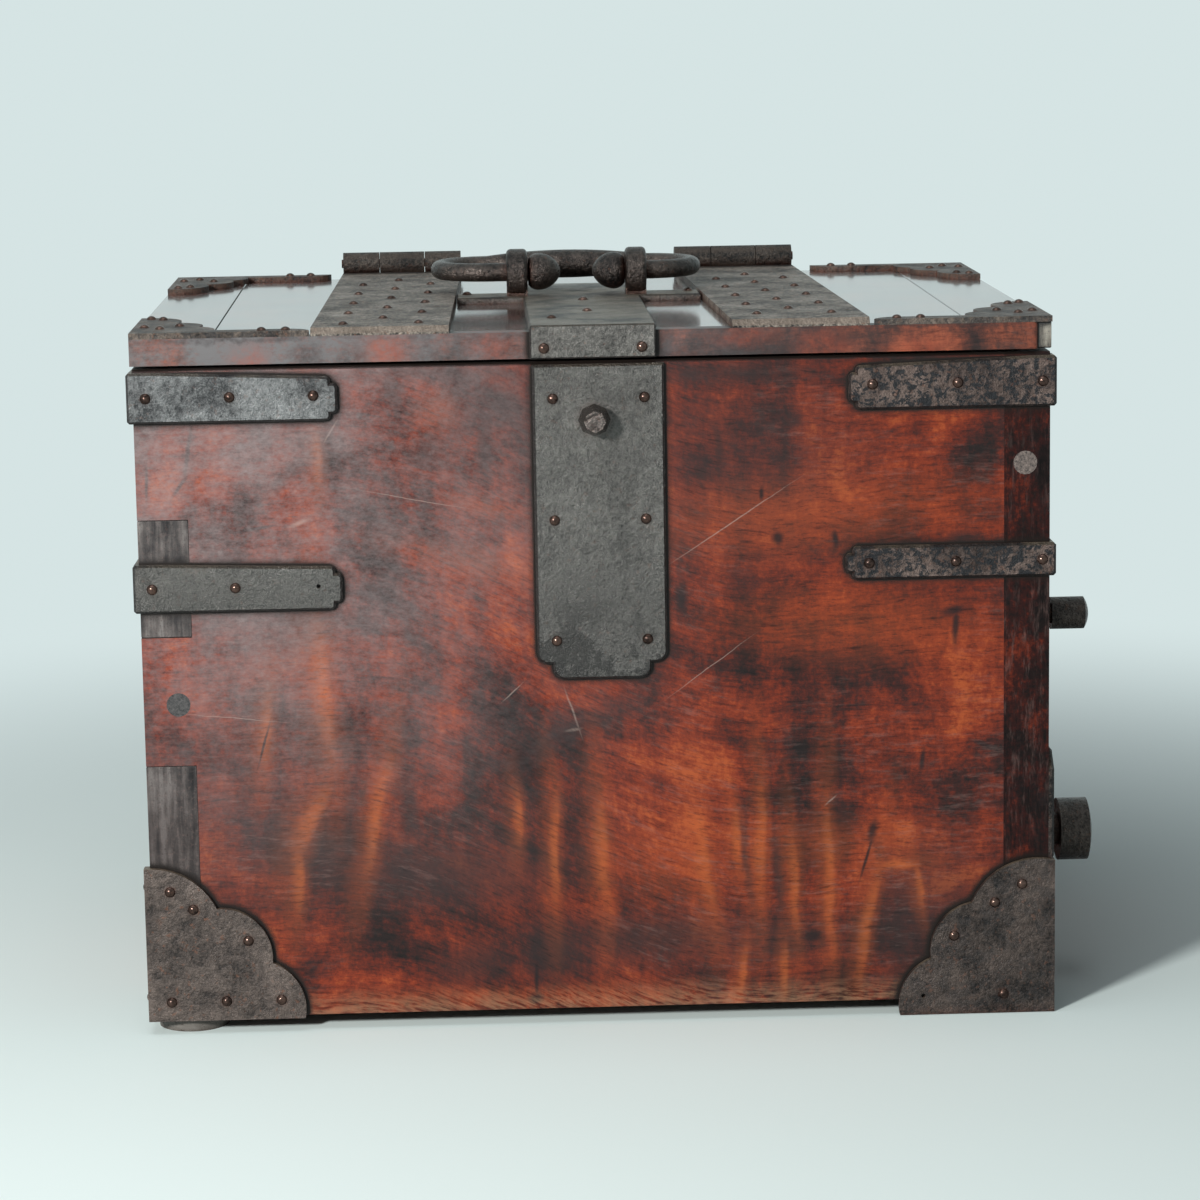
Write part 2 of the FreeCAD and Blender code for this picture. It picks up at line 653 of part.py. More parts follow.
LOCK_NAIL_DROPS = (
    "lock_nail_top", "(lock_drop + lock_nail_top - lock_nail_end) / 2", "lock_drop - lock_nail_end",
)
lock_spots = []
for column in (f"{lock_left} + lock_nail_inset", f"{lock_right} - lock_nail_inset"):
    for drop in LOCK_NAIL_DROPS:
        lock_spots.append((column, "-outer_y", f"lock_top - ({drop})"))
lock_nails = nail_row("lock_plate_nails", "front", lock_spots)
nailed("lock_plate", lock, lock_nails + [spindle_hole])

# ---------------------------------------------------------------- lid
LID_Z = ("lid_bottom", "lid_top")
LID_Y = ("rail_back", "lid_back")
TONGUE_Z = ("(lid_bottom + lid_top - tongue_thick) / 2", "(lid_bottom + lid_top + tongue_thick) / 2")

ring_pattern = revolve("ring_pattern", [
    (ZERO, ZERO),
    ("eye_ring_radius - eye_ring_round", ZERO, "eye_ring_round"),
    ("eye_ring_radius", "eye_ring_round"),
    ("eye_ring_radius", "post_width - eye_ring_round", "eye_ring_round"),
    ("eye_ring_radius - eye_ring_round", "post_width"),
    (ZERO, "post_width"),
])
posts = []
for side in ("-", ""):
    x_centre = f"{side}post_spacing / 2 + post_shift"
    left_face = f"{x_centre} - post_width / 2"
    ring = copy_of(ring_pattern, "ring", "right", left_face, ZERO, "bail_height")
    neck = block("neck", (left_face, f"{x_centre} + post_width / 2"),
                 ("-post_width / 2", "post_width / 2"), ("centre_top", "bail_height - rod_radius"))
    shank = rod("shank", "top", "post_shank", "centre_top - lid_bottom", x_centre, ZERO, "lid_bottom")
    rivet = rod("rivet", "bottom", "post_rivet_radius", "post_rivet_thick", x_centre, ZERO, "lid_bottom")
    eye = rod("eye", "right", "rod_radius + bail_clearance", "2 * post_width",
              f"{x_centre} - post_width", ZERO, "bail_height")
    label = "bail_post_left" if side else "bail_post_right"
    posts.append(keep(cut(label, fuse("post", [ring, neck, shank, rivet]), eye), label))
both_posts = group("both_posts", posts)

rail = keep(new_body("rail"), "lid_front_rail")
pad(rail, "rail_pad", "top", "lid_bottom", [
    ("-lid_half", "front"),
    ("rail_end - rail_round", "front", "rail_round"),
    ("rail_end", "front + rail_round"),
    ("rail_end", "rail_back"),
    ("-lid_half", "rail_back"),
], "lid_thick")

panel_pieces = [block("panel", ("-panel_half", "panel_half"), LID_Y, LID_Z)]
for side, batten in (("-", "left"), ("", "right")):
    reach = "panel_half + tongue_length"
    tongue_x = (f"-({reach})", "-panel_half") if side else ("panel_half", reach)
    panel_pieces.append(block("tongue", tongue_x, LID_Y, TONGUE_Z))
    groove = block("groove", tongue_x, LID_Y, TONGUE_Z)
    shoulder = "panel_half + shoulder_gap"
    batten_x = ("-lid_half", f"-({shoulder})") if side else (shoulder, "lid_half")
    blank = block("batten_blank", batten_x, LID_Y, LID_Z)
    if batten == "right":
        horn = block("batten_horn", ("rail_end", "lid_half"), ("front + rail_round", "rail_back"), LID_Z)
        blank = fuse("batten_horned", [blank, horn])
    keep(cut("batten", blank, groove), f"lid_batten_{batten}")
keep(cut("lid_board", fuse("panel_joined", panel_pieces), both_posts), "lid_panel")

# Flat irons on the lid's four corners: a strip along the long edge and lobes along the end.
for corner_name, sign_x, sign_y in CORNERS:
    label = f"lid_iron_{corner_name}"
    lid_edge = "lid_back" if sign_y == "" else "-front"
    outline = [
        (ZERO, ZERO),
        ("lid_iron_reach", ZERO, "lid_strip_round"),
        ("lid_iron_reach - lid_iron_strip", "lid_iron_strip"),
        ("lid_lobe_start", "lid_iron_strip", "lid_lobe_radius"),
        ("lid_lobe_two_out", "lid_lobe_two_in", "lid_lobe_radius"),
        ("lid_lobe_three_out", "lid_lobe_three_in", "lid_lobe_radius_tip"),
        ("lid_iron_tip", "lid_iron_side"),
        (ZERO, "lid_iron_side"),
    ]
    corners = [(signed(sign_x, f"lid_half - ({corner[0]})"), signed(sign_y, f"{lid_edge} - ({corner[1]})"))
               + tuple(corner[2:]) for corner in outline]
    plate = new_body(label + "_plate")
    pad(plate, label + "_pad", "top", "lid_top", corners, "iron_thick")
    spots = [
        ("lid_nail_edge", "lid_iron_side - lid_iron_tip"),
        ("nail_edge", "lid_iron_side - nail_edge"),
        ("lid_lobe_nail_out", "lid_lobe_nail_in"),
        ("lid_heel_nail_out", "lid_heel_nail_in"),
        ("lid_nail_edge", "lid_lobe_two_in"),
        ("lid_iron_reach - nail_edge", "lid_iron_strip / 2"),
        ("lid_iron_reach - 2 * nail_edge", "lid_iron_strip / 2"),
    ]
    fixings = nail_row("lid_nails", "top", [
        (signed(sign_x, f"lid_half - ({out})"), signed(sign_y, f"{lid_edge} - ({inward})"), "lid_top + iron_thick")
        for out, inward in spots])
    nailed(label, plate, fixings)

def strap_centre(side, name, y):
    """Middle of a hinge strap. The straps splay apart from their knuckles to the front of the lid."""
    splay = f"{name}_hinge_splay * (strap_tail - ({y})) / (strap_tail - front)"
    return f"{side}(hinge_spacing / 2 + {splay}) + hinge_shift"


# Cross-shaped plate: its arms fill the room between the hinge straps, and its stem runs to the front
# edge and turns down over it.
arm_left = strap_centre("-", "left", "cross_back") + " + hinge_width / 2 + arm_gap"
arm_right = strap_centre("", "right", "cross_back") + " - hinge_width / 2 - arm_gap"
centre_plate = new_body("centre_blank")
pad(centre_plate, "centre_pad", "top", "lid_top", [
    ("-stem_width / 2", "front - centre_thick"),
    ("stem_width / 2", "front - centre_thick"),
    ("stem_width / 2", "cross_front"),
    (arm_right, "cross_front"),
    (arm_right, "cross_back"),
    ("stem_width / 2", "cross_back"),
    ("stem_width / 2", "stem_back"),
    ("-stem_width / 2", "stem_back"),
    ("-stem_width / 2", "cross_back"),
    (arm_left, "cross_back"),
    (arm_left, "cross_front"),
    ("-stem_width / 2", "cross_front"),
], "centre_thick")
pad(centre_plate, "centre_turn_down", "front", "back", [
    ("-stem_width / 2", "lid_bottom"),
    ("stem_width / 2", "lid_bottom"),
    ("stem_width / 2", "centre_top"),
    ("-stem_width / 2", "centre_top"),
], "centre_thick")
bevel(centre_plate, "centre_edges", [Vector(0, 0, 1), Vector(0, -1, 0)], "centre_bevel")
stem_spots = [
    ("nail_edge - stem_width / 2", "front + stem_nail_first", "centre_top"),
    (ZERO, "front + stem_nail_second", "centre_top"),
    (ZERO, "cross_front - stem_nail_last", "centre_top"),
    (f"{arm_left} + lid_nail_edge", "cross_back - lid_nail_edge", "centre_top"),
    (f"{arm_right} - lid_nail_edge", "cross_back - lid_nail_edge", "centre_top"),
]
turn_spots = [
    (f"{side}(stem_width / 2 - turn_nail_inset)", "front - centre_thick", "lid_bottom + turn_nail_rise")
    for side in ("-", "")
]
centre_fixings = nail_row("lid_nails", "top", stem_spots) + nail_row("lid_nails", "front", turn_spots)
nailed("lid_centre_plate", cut("centre_bored", centre_plate, both_posts), centre_fixings)

# ---------------------------------------------------------------- hinges
HINGE_NAIL_ROWS = 5


def slanted_bar(bar_name, side, name, near, far, near_thick):
    """A stretch of a hinge strap between two depths. Only its near end can be thinner."""
    item = doc.addObject("Part::Wedge", bar_name)
    low = " - hinge_width / 2"
    high = " + hinge_width / 2"
    tie(item, Xmin=strap_centre(side, name, near) + low, Xmax=strap_centre(side, name, near) + high,
        X2min=strap_centre(side, name, far) + low, X2max=strap_centre(side, name, far) + high,
        Ymin=near, Ymax=far, Zmin="lid_top", Zmax=f"lid_top + {near_thick}",
        Z2min="lid_top", Z2max="lid_top + hinge_thick")
    return item


pins = []
for side, name in (("-", "left"), ("", "right")):
    x_centre = f"{side}hinge_spacing / 2 + hinge_shift"
    x_low = f"{x_centre} - hinge_width / 2"
    x_high = f"{x_centre} + hinge_width / 2"
    middle_low = f"{x_centre} - middle_knuckle / 2"
    middle_high = f"{x_centre} + middle_knuckle / 2"

    strap = [
        slanted_bar("strap_nose", side, name, "front", "front + hinge_bevel", "hinge_thick - hinge_bevel"),
        slanted_bar("strap_bar", side, name, "front + hinge_bevel", "strap_tail", "hinge_thick"),
        block("strap_end", (x_low, x_high), ("strap_tail", "lid_back"), ("lid_top", "lid_top + hinge_thick")),
    ]
    outer_length = "(hinge_width - middle_knuckle) / 2 - knuckle_gap"
    knuckles = [
        rod("knuckle", "right", "knuckle_radius", outer_length, x_low, "back", "hinge_height"),
        rod("knuckle", "right", "knuckle_radius", outer_length, f"{middle_high} + knuckle_gap", "back",
            "hinge_height"),
    ]
    notch = block("notch", (f"{middle_low} - knuckle_gap", f"{middle_high} + knuckle_gap"),
                  ("strap_tail", "back + leaf_room"), ("lid_top", "hinge_height + leaf_room"))
    bore = rod("bore", "right", "pin_radius + pin_clearance", "2 * hinge_width",
               f"{x_centre} - hinge_width", "back", "hinge_height")
    spots = []
    for row in range(HINGE_NAIL_ROWS):
        outer_y = f"front + {name}_hinge_nail_first + {row} * {name}_hinge_nail_pitch"
        inner_y = f"{outer_y} + {name}_hinge_nail_pitch / 2"
        for column in ("-", "+"):
            spots.append((f"{strap_centre(side, name, outer_y)} {column} hinge_nail_column", outer_y,
                          "lid_top + hinge_thick"))
        spots.append((strap_centre(side, name, inner_y), inner_y, "lid_top + hinge_thick"))
    fixings = nail_row("lid_nails", "top", spots)
    leaf = cut(f"hinge_{name}_notched", fuse(f"hinge_{name}_rolled", strap + knuckles), notch)
    nailed(f"hinge_strap_{name}", cut(f"hinge_{name}_bored", leaf, bore), fixings)

    back_leaf = new_body(f"back_leaf_{name}_plate")
    foot_z = "case_top - back_leaf_drop"
    shoulder_z = "hinge_height - leaf_room"
    pad(back_leaf, f"back_leaf_{name}_pad", "front", "-back - back_leaf_thick", [
        (f"{x_low} + strap_round", foot_z),
        (f"{x_high} - strap_round", foot_z, "strap_round"),
        (x_high, f"{foot_z} + strap_round"),
        (x_high, shoulder_z),
        (middle_high, shoulder_z),
        (middle_high, "hinge_height"),
        (middle_low, "hinge_height"),
        (middle_low, shoulder_z),
        (x_low, shoulder_z),
        (x_low, f"{foot_z} + strap_round", "strap_round"),
    ], "back_leaf_thick")
    knuckle = rod("middle_knuckle_roll", "right", "knuckle_radius", "middle_knuckle", middle_low, "back",
                  "hinge_height")
    pin_seat = rod("pin_seat", "right", "pin_radius", "2 * hinge_width",
                   f"{x_centre} - hinge_width", "back", "hinge_height")
    spots = []
    for column in ("-", "+"):
        for rise in ("nail_edge", "back_leaf_drop / 2", "back_leaf_drop - nail_edge"):
            spot_x = f"{x_centre} {column} hinge_nail_column"
            spots.append((spot_x, "back + back_leaf_thick", f"{foot_z} + {rise}"))
    fixings = nail_row("back_leaf_nails", "back", spots)
    rolled = fuse(f"back_leaf_{name}_rolled", [back_leaf, knuckle])
    nailed(f"back_leaf_{name}", cut(f"back_leaf_{name}_bored", rolled, pin_seat), fixings)
    pins.append(rod("hinge_pin", "right", "pin_radius", "hinge_width + 2 * pin_overrun",
                    f"{x_low} - pin_overrun", "back", "hinge_height"))
keep(group("pins", pins), "hinge_pins")

# ---------------------------------------------------------------- carrying bail
bulb = revolve("bulb_pattern", [
    (ZERO, ZERO),
    ("bulb_neck", ZERO, dome_radius("bulb_swell", "bulb_radius - bulb_neck")),
    ("bulb_radius", "bulb_swell", dome_radius("bulb_length - bulb_swell", "bulb_radius - bulb_tip")),
    ("bulb_tip", "bulb_length"),
    (ZERO, "bulb_length"),
])
grip = revolve("grip_pattern", [
    (ZERO, ZERO),
    ("rod_radius", ZERO, dome_radius("bail_straight / 2", "grip_swell")),
    ("rod_radius", "bail_straight"),
    (ZERO, "bail_straight"),
])
bail_pieces = [
    copy_of(grip, "grip", "right", "bail_shift - bail_straight / 2", "2 * bail_loop_radius", "bail_height"),
]
for side, inward, outward, lean in (("-", "right", "left", "+"), ("", "left", "right", "-")):
    bulb_x = f"{side}bulb_face + post_shift"
    loop_x = f"{side}bail_straight / 2 + bail_shift"
    end_length = f"bail_straight / 2 - bulb_face {lean} (post_shift - bail_shift)"
    bail_pieces.append(copy_of(bulb, "bulb", inward, bulb_x, ZERO, "bail_height"))
    bail_pieces.append(rod("end", outward, "rod_radius", end_length, bulb_x, ZERO, "bail_height"))
    loop = doc.addObject("Part::Torus", "loop")
    turn = 90 if side else -90
    loop.Placement = FreeCAD.Placement(Vector(), FreeCAD.Rotation(Vector(0, 0, 1), turn))
    tie(loop, Radius1="bail_loop_radius", Radius2="rod_radius")
    loop.Angle3 = 180
    place(loop, loop_x, "bail_loop_radius", "bail_height")
    bail_pieces.append(loop)
keep(fuse("bail_forged", bail_pieces), "bail")

# ---------------------------------------------------------------- latch
faces = []
for name, radius, reach in (("knob_base", "knob_base_radius", "knob_neck"),
                            ("knob_face", "knob_face_radius", "knob_neck + knob_head")):
    polygon = doc.addObject("Part::RegularPolygon", name)
    polygon.Polygon = 8
    polygon.Placement = FreeCAD.Placement(Vector(), TURN["front"])
    tie(polygon, Circumradius=radius)
    faces.append(place(polygon, ZERO, f"-outer_y - hub_gap - ({reach})", "latch_height"))
knob_head = doc.addObject("Part::Loft", "knob_head")
knob_head.Sections = faces
knob_head.Solid = True
knob_neck = rod("knob_neck", "front", "knob_neck_radius", "knob_neck", ZERO, "-outer_y - hub_gap",
                "latch_height")
spindle_end = "cam_back + nut_thick + spindle_overrun"
spindle = rod("spindle", "back", "spindle_radius", f"{spindle_end} + outer_y + hub_gap", ZERO,
              "-outer_y - hub_gap", "latch_height")
keep(fuse("knob_forged", [knob_head, knob_neck, spindle]), "latch_knob")

hub = rod("hub", "back", "cam_hub_radius", "hub_length + cam_thick", ZERO, "inner_front + hub_gap",
          "latch_height")
arm_top = "latch_height + cam_reach - cam_width / 2"
arm = block("arm", ("-cam_width / 2", "cam_width / 2"), ("cam_front", "cam_back"), ("latch_height", arm_top))
tip = rod("tip", "back", "cam_width / 2", "cam_thick", ZERO, "cam_front", arm_top)
keep(cut("cam", fuse("cam_blank", [hub, arm, tip]), spindle), "latch_cam")

nut_blank = doc.addObject("Part::Prism", "nut_blank")
nut_blank.Polygon = 6
nut_blank.Placement = FreeCAD.Placement(Vector(), TURN["back"])
tie(nut_blank, Circumradius="nut_radius", Height="nut_thick")
place(nut_blank, ZERO, "cam_back", "latch_height")
keep(cut("nut", nut_blank, spindle), "latch_nut")

keeper_y = ("keeper_front", "keeper_front + keeper_width")
tab_outer = "keeper_tab + keeper_thick"
keeper_blank = fuse("keeper_bent", [
    block("keeper_tab_bar", ("keeper_tab", tab_outer), keeper_y, ("ledge_top - keeper_thick", "lid_bottom")),
    block("keeper_ledge_bar", (f"{tab_outer} - keeper_ledge", tab_outer), keeper_y,
          ("ledge_top - keeper_thick", "ledge_top")),
    block("keeper_foot_bar", ("keeper_tab", "keeper_tab + keeper_foot"), keeper_y,
          ("lid_bottom - keeper_thick", "lid_bottom")),
])
keeper_nails = nail_row("lid_nails", "bottom", [
    ("keeper_tab + keeper_thick + nail_head", "keeper_front + keeper_width / 2", "lid_bottom - keeper_thick"),
    ("keeper_tab + keeper_foot - nail_head", "keeper_front + keeper_width / 2", "lid_bottom - keeper_thick"),
])
nailed("latch_keeper", keeper_blank, keeper_nails)

# ---------------------------------------------------------------- drawers
small_knob = revolve("small_knob_pattern", [
    (ZERO, "-drawer_front_thick"),
    ("knob_stem_radius", "-drawer_front_thick"),
    ("knob_stem_radius", ZERO),
    ("small_knob_neck", ZERO),
    ("small_knob_neck", "small_knob_reach - small_knob_head"),
    ("small_knob_radius", "small_knob_reach - small_knob_head"),
    ("small_knob_radius", "small_knob_reach - small_knob_crown",
     dome_radius("small_knob_radius", "small_knob_crown")),
    (ZERO, "small_knob_reach"),
])
drum_knob = revolve("drum_knob_pattern", [
    (ZERO, "-drawer_front_thick"),
    ("knob_stem_radius", "-drawer_front_thick"),
    ("knob_stem_radius", ZERO),
    ("drum_knob_neck", ZERO),
    ("drum_knob_neck", "drum_knob_reach - drum_knob_head"),
    ("drum_knob_radius", "drum_knob_reach - drum_knob_head"),
    ("drum_knob_radius", "drum_knob_reach - drum_knob_crown",
     dome_radius("drum_knob_radius", "drum_knob_crown")),
    (ZERO, "drum_knob_reach"),
])

for name, base, ceiling, knob in (("lower", "floor_top", "divider_bottom", drum_knob),
                                  ("upper", "divider_top", "till_bottom", small_knob)):
    low = f"{base} + drawer_base_gap"
    high = f"{ceiling} - drawer_top_gap"
    middle = f"({low} + {high}) / 2"
    knobs = group(f"{name}_knob_pair", [
        copy_of(knob, f"{name}_knob", "right", "half_width", f"{side}knob_spread / 2", middle)
        for side in ("-", "")
    ])
    keep(knobs, f"{name}_drawer_knobs")
    front_blank = block(f"{name}_front_blank", ("drawer_front_back", "half_width"),
                        ("-drawer_half", "drawer_half"), (low, high))
    keep(cut(f"{name}_front_bored", front_blank, knobs), f"{name}_drawer_front")
    sides_z = (low, f"{high} - drawer_side_drop")
    sides_x = ("drawer_tail", "drawer_front_back")
    frame = [
        block("drawer_side_near", sides_x, ("-drawer_half", "drawer_side - drawer_half"), sides_z),
        block("drawer_side_far", sides_x, ("drawer_half - drawer_side", "drawer_half"), sides_z),
        block("drawer_back", ("drawer_tail", "drawer_tail + drawer_side"),
              ("-drawer_half", "drawer_half"), sides_z),
    ]
    keep(fuse(f"{name}_frame_joined", frame), f"{name}_drawer_frame")
    keep(block(f"{name}_bottom_panel", ("drawer_tail + drawer_side", "drawer_front_back"),
               ("drawer_side - drawer_half", "drawer_half - drawer_side"), (low, f"{low} + drawer_bottom")),
         f"{name}_drawer_bottom")

for group_name, members in nail_groups.items():
    keep(group(group_name + "_set", members), group_name)

# ---------------------------------------------------------------- checks and export
doc.recompute()
for item in doc.Objects:
    if "Invalid" in item.State or "Error" in item.State:
        raise RuntimeError(f"{item.Name} ({item.Label}) failed: {item.State}")
for label, item in nodes.items():
    if item.Shape.isNull() or not item.Shape.isValid() or not item.Shape.Solids:
        raise RuntimeError(f"{label} has no valid solid")
for label, item in nodes.items():
    item.Shape.exportStep(f"parts/{label}.step")
    box = item.Shape.BoundBox
    print(f"{label:28s} {len(item.Shape.Solids):3d} solids {item.Shape.Volume:12.0f} mm3"
          f"  z {box.ZMin:7.2f} to {box.ZMax:7.2f}")
print(len(nodes), "nodes")
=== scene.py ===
"""Looks for the ship chest: lacquered wood, hammered iron, worn details, floor, lamps and camera.

Everything is in metres in the chest's own frame: +Z up, +X to the right, -Y towards the viewer. Only the
lists of marks are in millimetres. A noise scale is in features per metre, so 400 is a grain of 2.5 mm.
"""
import math

import bpy
from mathutils import Matrix, Vector

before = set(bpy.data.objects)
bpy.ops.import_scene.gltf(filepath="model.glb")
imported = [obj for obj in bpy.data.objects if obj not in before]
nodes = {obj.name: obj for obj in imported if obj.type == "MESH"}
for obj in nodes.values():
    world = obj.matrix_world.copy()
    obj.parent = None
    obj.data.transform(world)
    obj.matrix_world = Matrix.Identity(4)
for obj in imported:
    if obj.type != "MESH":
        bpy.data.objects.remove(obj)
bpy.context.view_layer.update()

MM = 0.001
X, Y, Z = 0, 1, 2


# ---------------------------------------------------------------- shader graphs
class Shader:
    """A shader node tree, with short names for the nodes that it is made of."""

    def __init__(self, owner):
        owner.use_nodes = True
        self.tree = owner.node_tree
        self.tree.nodes.clear()

    def node(self, kind, **settings):
        """A new node of a kind, with its own settings."""
        node = self.tree.nodes.new("ShaderNode" + kind)
        for name, value in settings.items():
            setattr(node, name, value)
        return node

    def feed(self, socket, value):
        """Link an output to a socket, or set the socket to a constant."""
        if isinstance(value, bpy.types.NodeSocket):
            self.tree.links.new(value, socket)
        else:
            socket.default_value = value

    def fill(self, node, values):
        """Feed several inputs, each found by its name or its number."""
        for key, value in values.items():
            self.feed(node.inputs[key], value)

    def maths(self, operation, first, second=0.0, third=0.0):
        node = self.node("Math", operation=operation)
        self.fill(node, {0: first, 1: second, 2: third})
        return node.outputs[0]

    def fold(self, operation, values):
        """One operation over several values, from left to right."""
        result, *rest = values
        for value in rest:
            result = self.maths(operation, result, value)
        return result

    def plus(self, *values):
        return self.fold("ADD", values)

    def times(self, *values):
        return self.fold("MULTIPLY", values)

    def most(self, *values):
        """The largest of several masks."""
        return self.fold("MAXIMUM", values)

    def seen_directly(self):
        """1 for what the camera or a glossy surface sees, 0 for light on its way to a dull one."""
        rays = self.node("LightPath")
        return self.most(rays.outputs["Is Camera Ray"], rays.outputs["Is Glossy Ray"])

    def mix_shaders(self, factor, first, second):
        node = self.node("MixShader")
        self.fill(node, {0: factor, 1: first, 2: second})
        return node.outputs[0]


class Graph(Shader):
    """One material. Its place and facing are the object's own coordinates and normal."""

    # The colour sockets of a Mix node share their names with its other kinds of socket.
    MIX_FACTOR, MIX_FIRST, MIX_SECOND, MIX_RESULT = 0, 6, 7, 2
    WARP_DETAIL = 3.0
    CREVICE_SAMPLES = 4
    # No point counts as farther from an oval than 10 times its size. This is the square of that.
    FARTHEST_SQUARE = 100.0

    def __init__(self, name):
        self.material = bpy.data.materials.new(name)
        super().__init__(self.material)
        self.output = self.node("OutputMaterial")
        self.surface = self.node("BsdfPrincipled")
        self.feed(self.output.inputs["Surface"], self.surface.outputs["BSDF"])
        coordinates = self.node("TexCoord")
        self.place = coordinates.outputs["Object"]
        self.facing = self.axes(coordinates.outputs["Normal"])

    def size_of(self, value):
        return self.maths("ABSOLUTE", value)

    def boosted(self, value, gain):
        """Noise spread out about its middle."""
        return self.times(self.maths("SUBTRACT", value, 0.5), gain)

    def axes(self, vector):
        node = self.node("SeparateXYZ")
        self.feed(node.inputs[0], vector)
        return node.outputs

    def noise(self, vector, scale, detail, roughness=0.55, distortion=0.0, colour=False):
        node = self.node("TexNoise")
        self.fill(node, {"Vector": vector, "Scale": scale, "Detail": detail, "Roughness": roughness,
                         "Distortion": distortion})
        return node.outputs["Color" if colour else "Fac"]

    def streaked(self, vector, scales, detail, roughness, distortion=0.0):
        """Noise with a scale of its own along each axis."""
        node = self.node("Mapping")
        self.fill(node, {"Vector": vector, "Scale": scales})
        return self.noise(node.outputs[0], 1.0, detail, roughness, distortion)

    def rise(self, value, low, high):
        """0 below low, 1 above high, smooth between. With low above high it falls instead."""
        node = self.node("MapRange", interpolation_type="SMOOTHSTEP")
        self.fill(node, {"Value": value, "From Min": low, "From Max": high})
        return node.outputs["Result"]

    def warp(self, vector, scale, amount):
        """The coordinates pushed about by noise, by amount at most."""
        pushed = self.node("VectorMath", operation="MULTIPLY_ADD")
        back = self.node("VectorMath", operation="SUBTRACT")
        self.fill(back, {0: vector, 1: (amount, amount, amount)})
        self.fill(pushed, {0: self.noise(vector, scale, self.WARP_DETAIL, colour=True),
                           1: (2 * amount, 2 * amount, 2 * amount), 2: back.outputs[0]})
        return pushed.outputs[0]

    def line_in(self, axes, across_x, across_z, start):
        """across_x times X plus across_z times Z plus start."""
        first = self.maths("MULTIPLY_ADD", axes[X], across_x, third=start)
        return self.maths("MULTIPLY_ADD", axes[Z], across_z, third=first)

    def far_from(self, vector, marks, lean=0.0):
        """0 at the nearest oval's centre, 1 on its outline. Each mark is in millimetres and degrees:
        centre X, centre Z, half length, half width, tilt from X. With lean, one long side is sharper
        by that factor."""
        axes = self.axes(vector)
        nearest = self.FARTHEST_SQUARE
        for x, z, along, across, tilt in marks:
            cosine = math.cos(math.radians(tilt))
            sine = math.sin(math.radians(tilt))
            forth = self.line_in(axes, cosine / (along * MM), sine / (along * MM),
                                 -(x * cosine + z * sine) / along)
            side = self.line_in(axes, -sine / (across * MM), cosine / (across * MM),
                                (x * sine - z * cosine) / across)
            if lean:
                side = self.most(side, self.times(side, -lean))
            reach = self.maths("MULTIPLY_ADD", side, side, third=self.times(forth, forth))
            nearest = self.maths("MINIMUM", reach, nearest)
        return self.maths("SQRT", nearest)

    def ovals(self, vector, marks, soft):
        """1 inside any oval on the front, 0 outside, faded by soft."""
        return self.rise(self.far_from(vector, marks), 1.0 + soft, 1.0 - soft)

    def blend(self, factor, first, second, mode="MIX"):
        """From the first colour to the second. A colour is an output or three numbers."""
        node = self.node("Mix", data_type="RGBA", blend_type=mode)
        self.feed(node.inputs[self.MIX_FACTOR], factor)
        for key, colour in ((self.MIX_FIRST, first), (self.MIX_SECOND, second)):
            opaque = colour if isinstance(colour, bpy.types.NodeSocket) else (*colour, 1.0)
            self.feed(node.inputs[key], opaque)
        return node.outputs[self.MIX_RESULT]

    def paint(self, colour, mask, strength, paint):
        """Paint over a colour where the mask is, as thickly as the strength says."""
        return self.blend(self.times(mask, strength), colour, paint)

    def ramp(self, value, places, colours):
        """A colour ramp with one colour at each place."""
        node = self.node("ValToRGB")
        self.feed(node.inputs[0], value)
        elements = node.color_ramp.elements
        while len(elements) < len(places):
            elements.new(0.5)
        for element, place, colour in zip(elements, places, colours):
            element.position = place
            element.color = (*colour, 1.0)
        return node.outputs["Color"]

    def bump(self, heights, distance):
        """Normals from a height field; distance is the height of a full step, in metres."""
        node = self.node("Bump")
        self.fill(node, {"Strength": 1.0, "Distance": distance, "Height": heights})
        return node.outputs[0]

    def crevice(self, reach):
        """1 in a corner or under an edge, 0 on an open face."""
        node = self.node("AmbientOcclusion", samples=self.CREVICE_SAMPLES)
        self.feed(node.inputs["Distance"], reach)
        return self.maths("SUBTRACT", 1.0, node.outputs["AO"])

    def finish(self, colour, roughness, metallic=0.0, normal=None, **settings):
        """Feed the surface. The settings are inputs of its own, with underscores for spaces."""
        self.fill(self.surface, {"Base Color": colour, "Roughness": roughness, "Metallic": metallic})
        if normal is not None:
            self.feed(self.surface.inputs["Normal"], normal)
        for name, value in settings.items():
            self.feed(self.surface.inputs[name.replace("_", " ")], value)
        return self.material


# ---------------------------------------------------------------- wood: colours and scales
SMOKE = (0.016, 0.013, 0.014)
# Painted shade for creases and for the rims where parts meet.
CONTACT_SHADE = (0.010, 0.007, 0.006)
DUST = (0.24, 0.19, 0.13)
PORE_DARK = (0.018, 0.009, 0.008)
RUBBED_PALE = (0.30, 0.19, 0.17)
# Dull dust with a painted sheen in it.
FRONT_DUST_AND_SHEEN = (0.23, 0.185, 0.185)
RAIL_DUST_AND_SHEEN = (0.130, 0.124, 0.128)
# Colours that darken what they multiply.
LINE_SHADE = (0.62, 0.58, 0.58)
LOW_END_SHADE = (0.60, 0.56, 0.56)
CORNER_SHADE = (0.06, 0.040, 0.036)

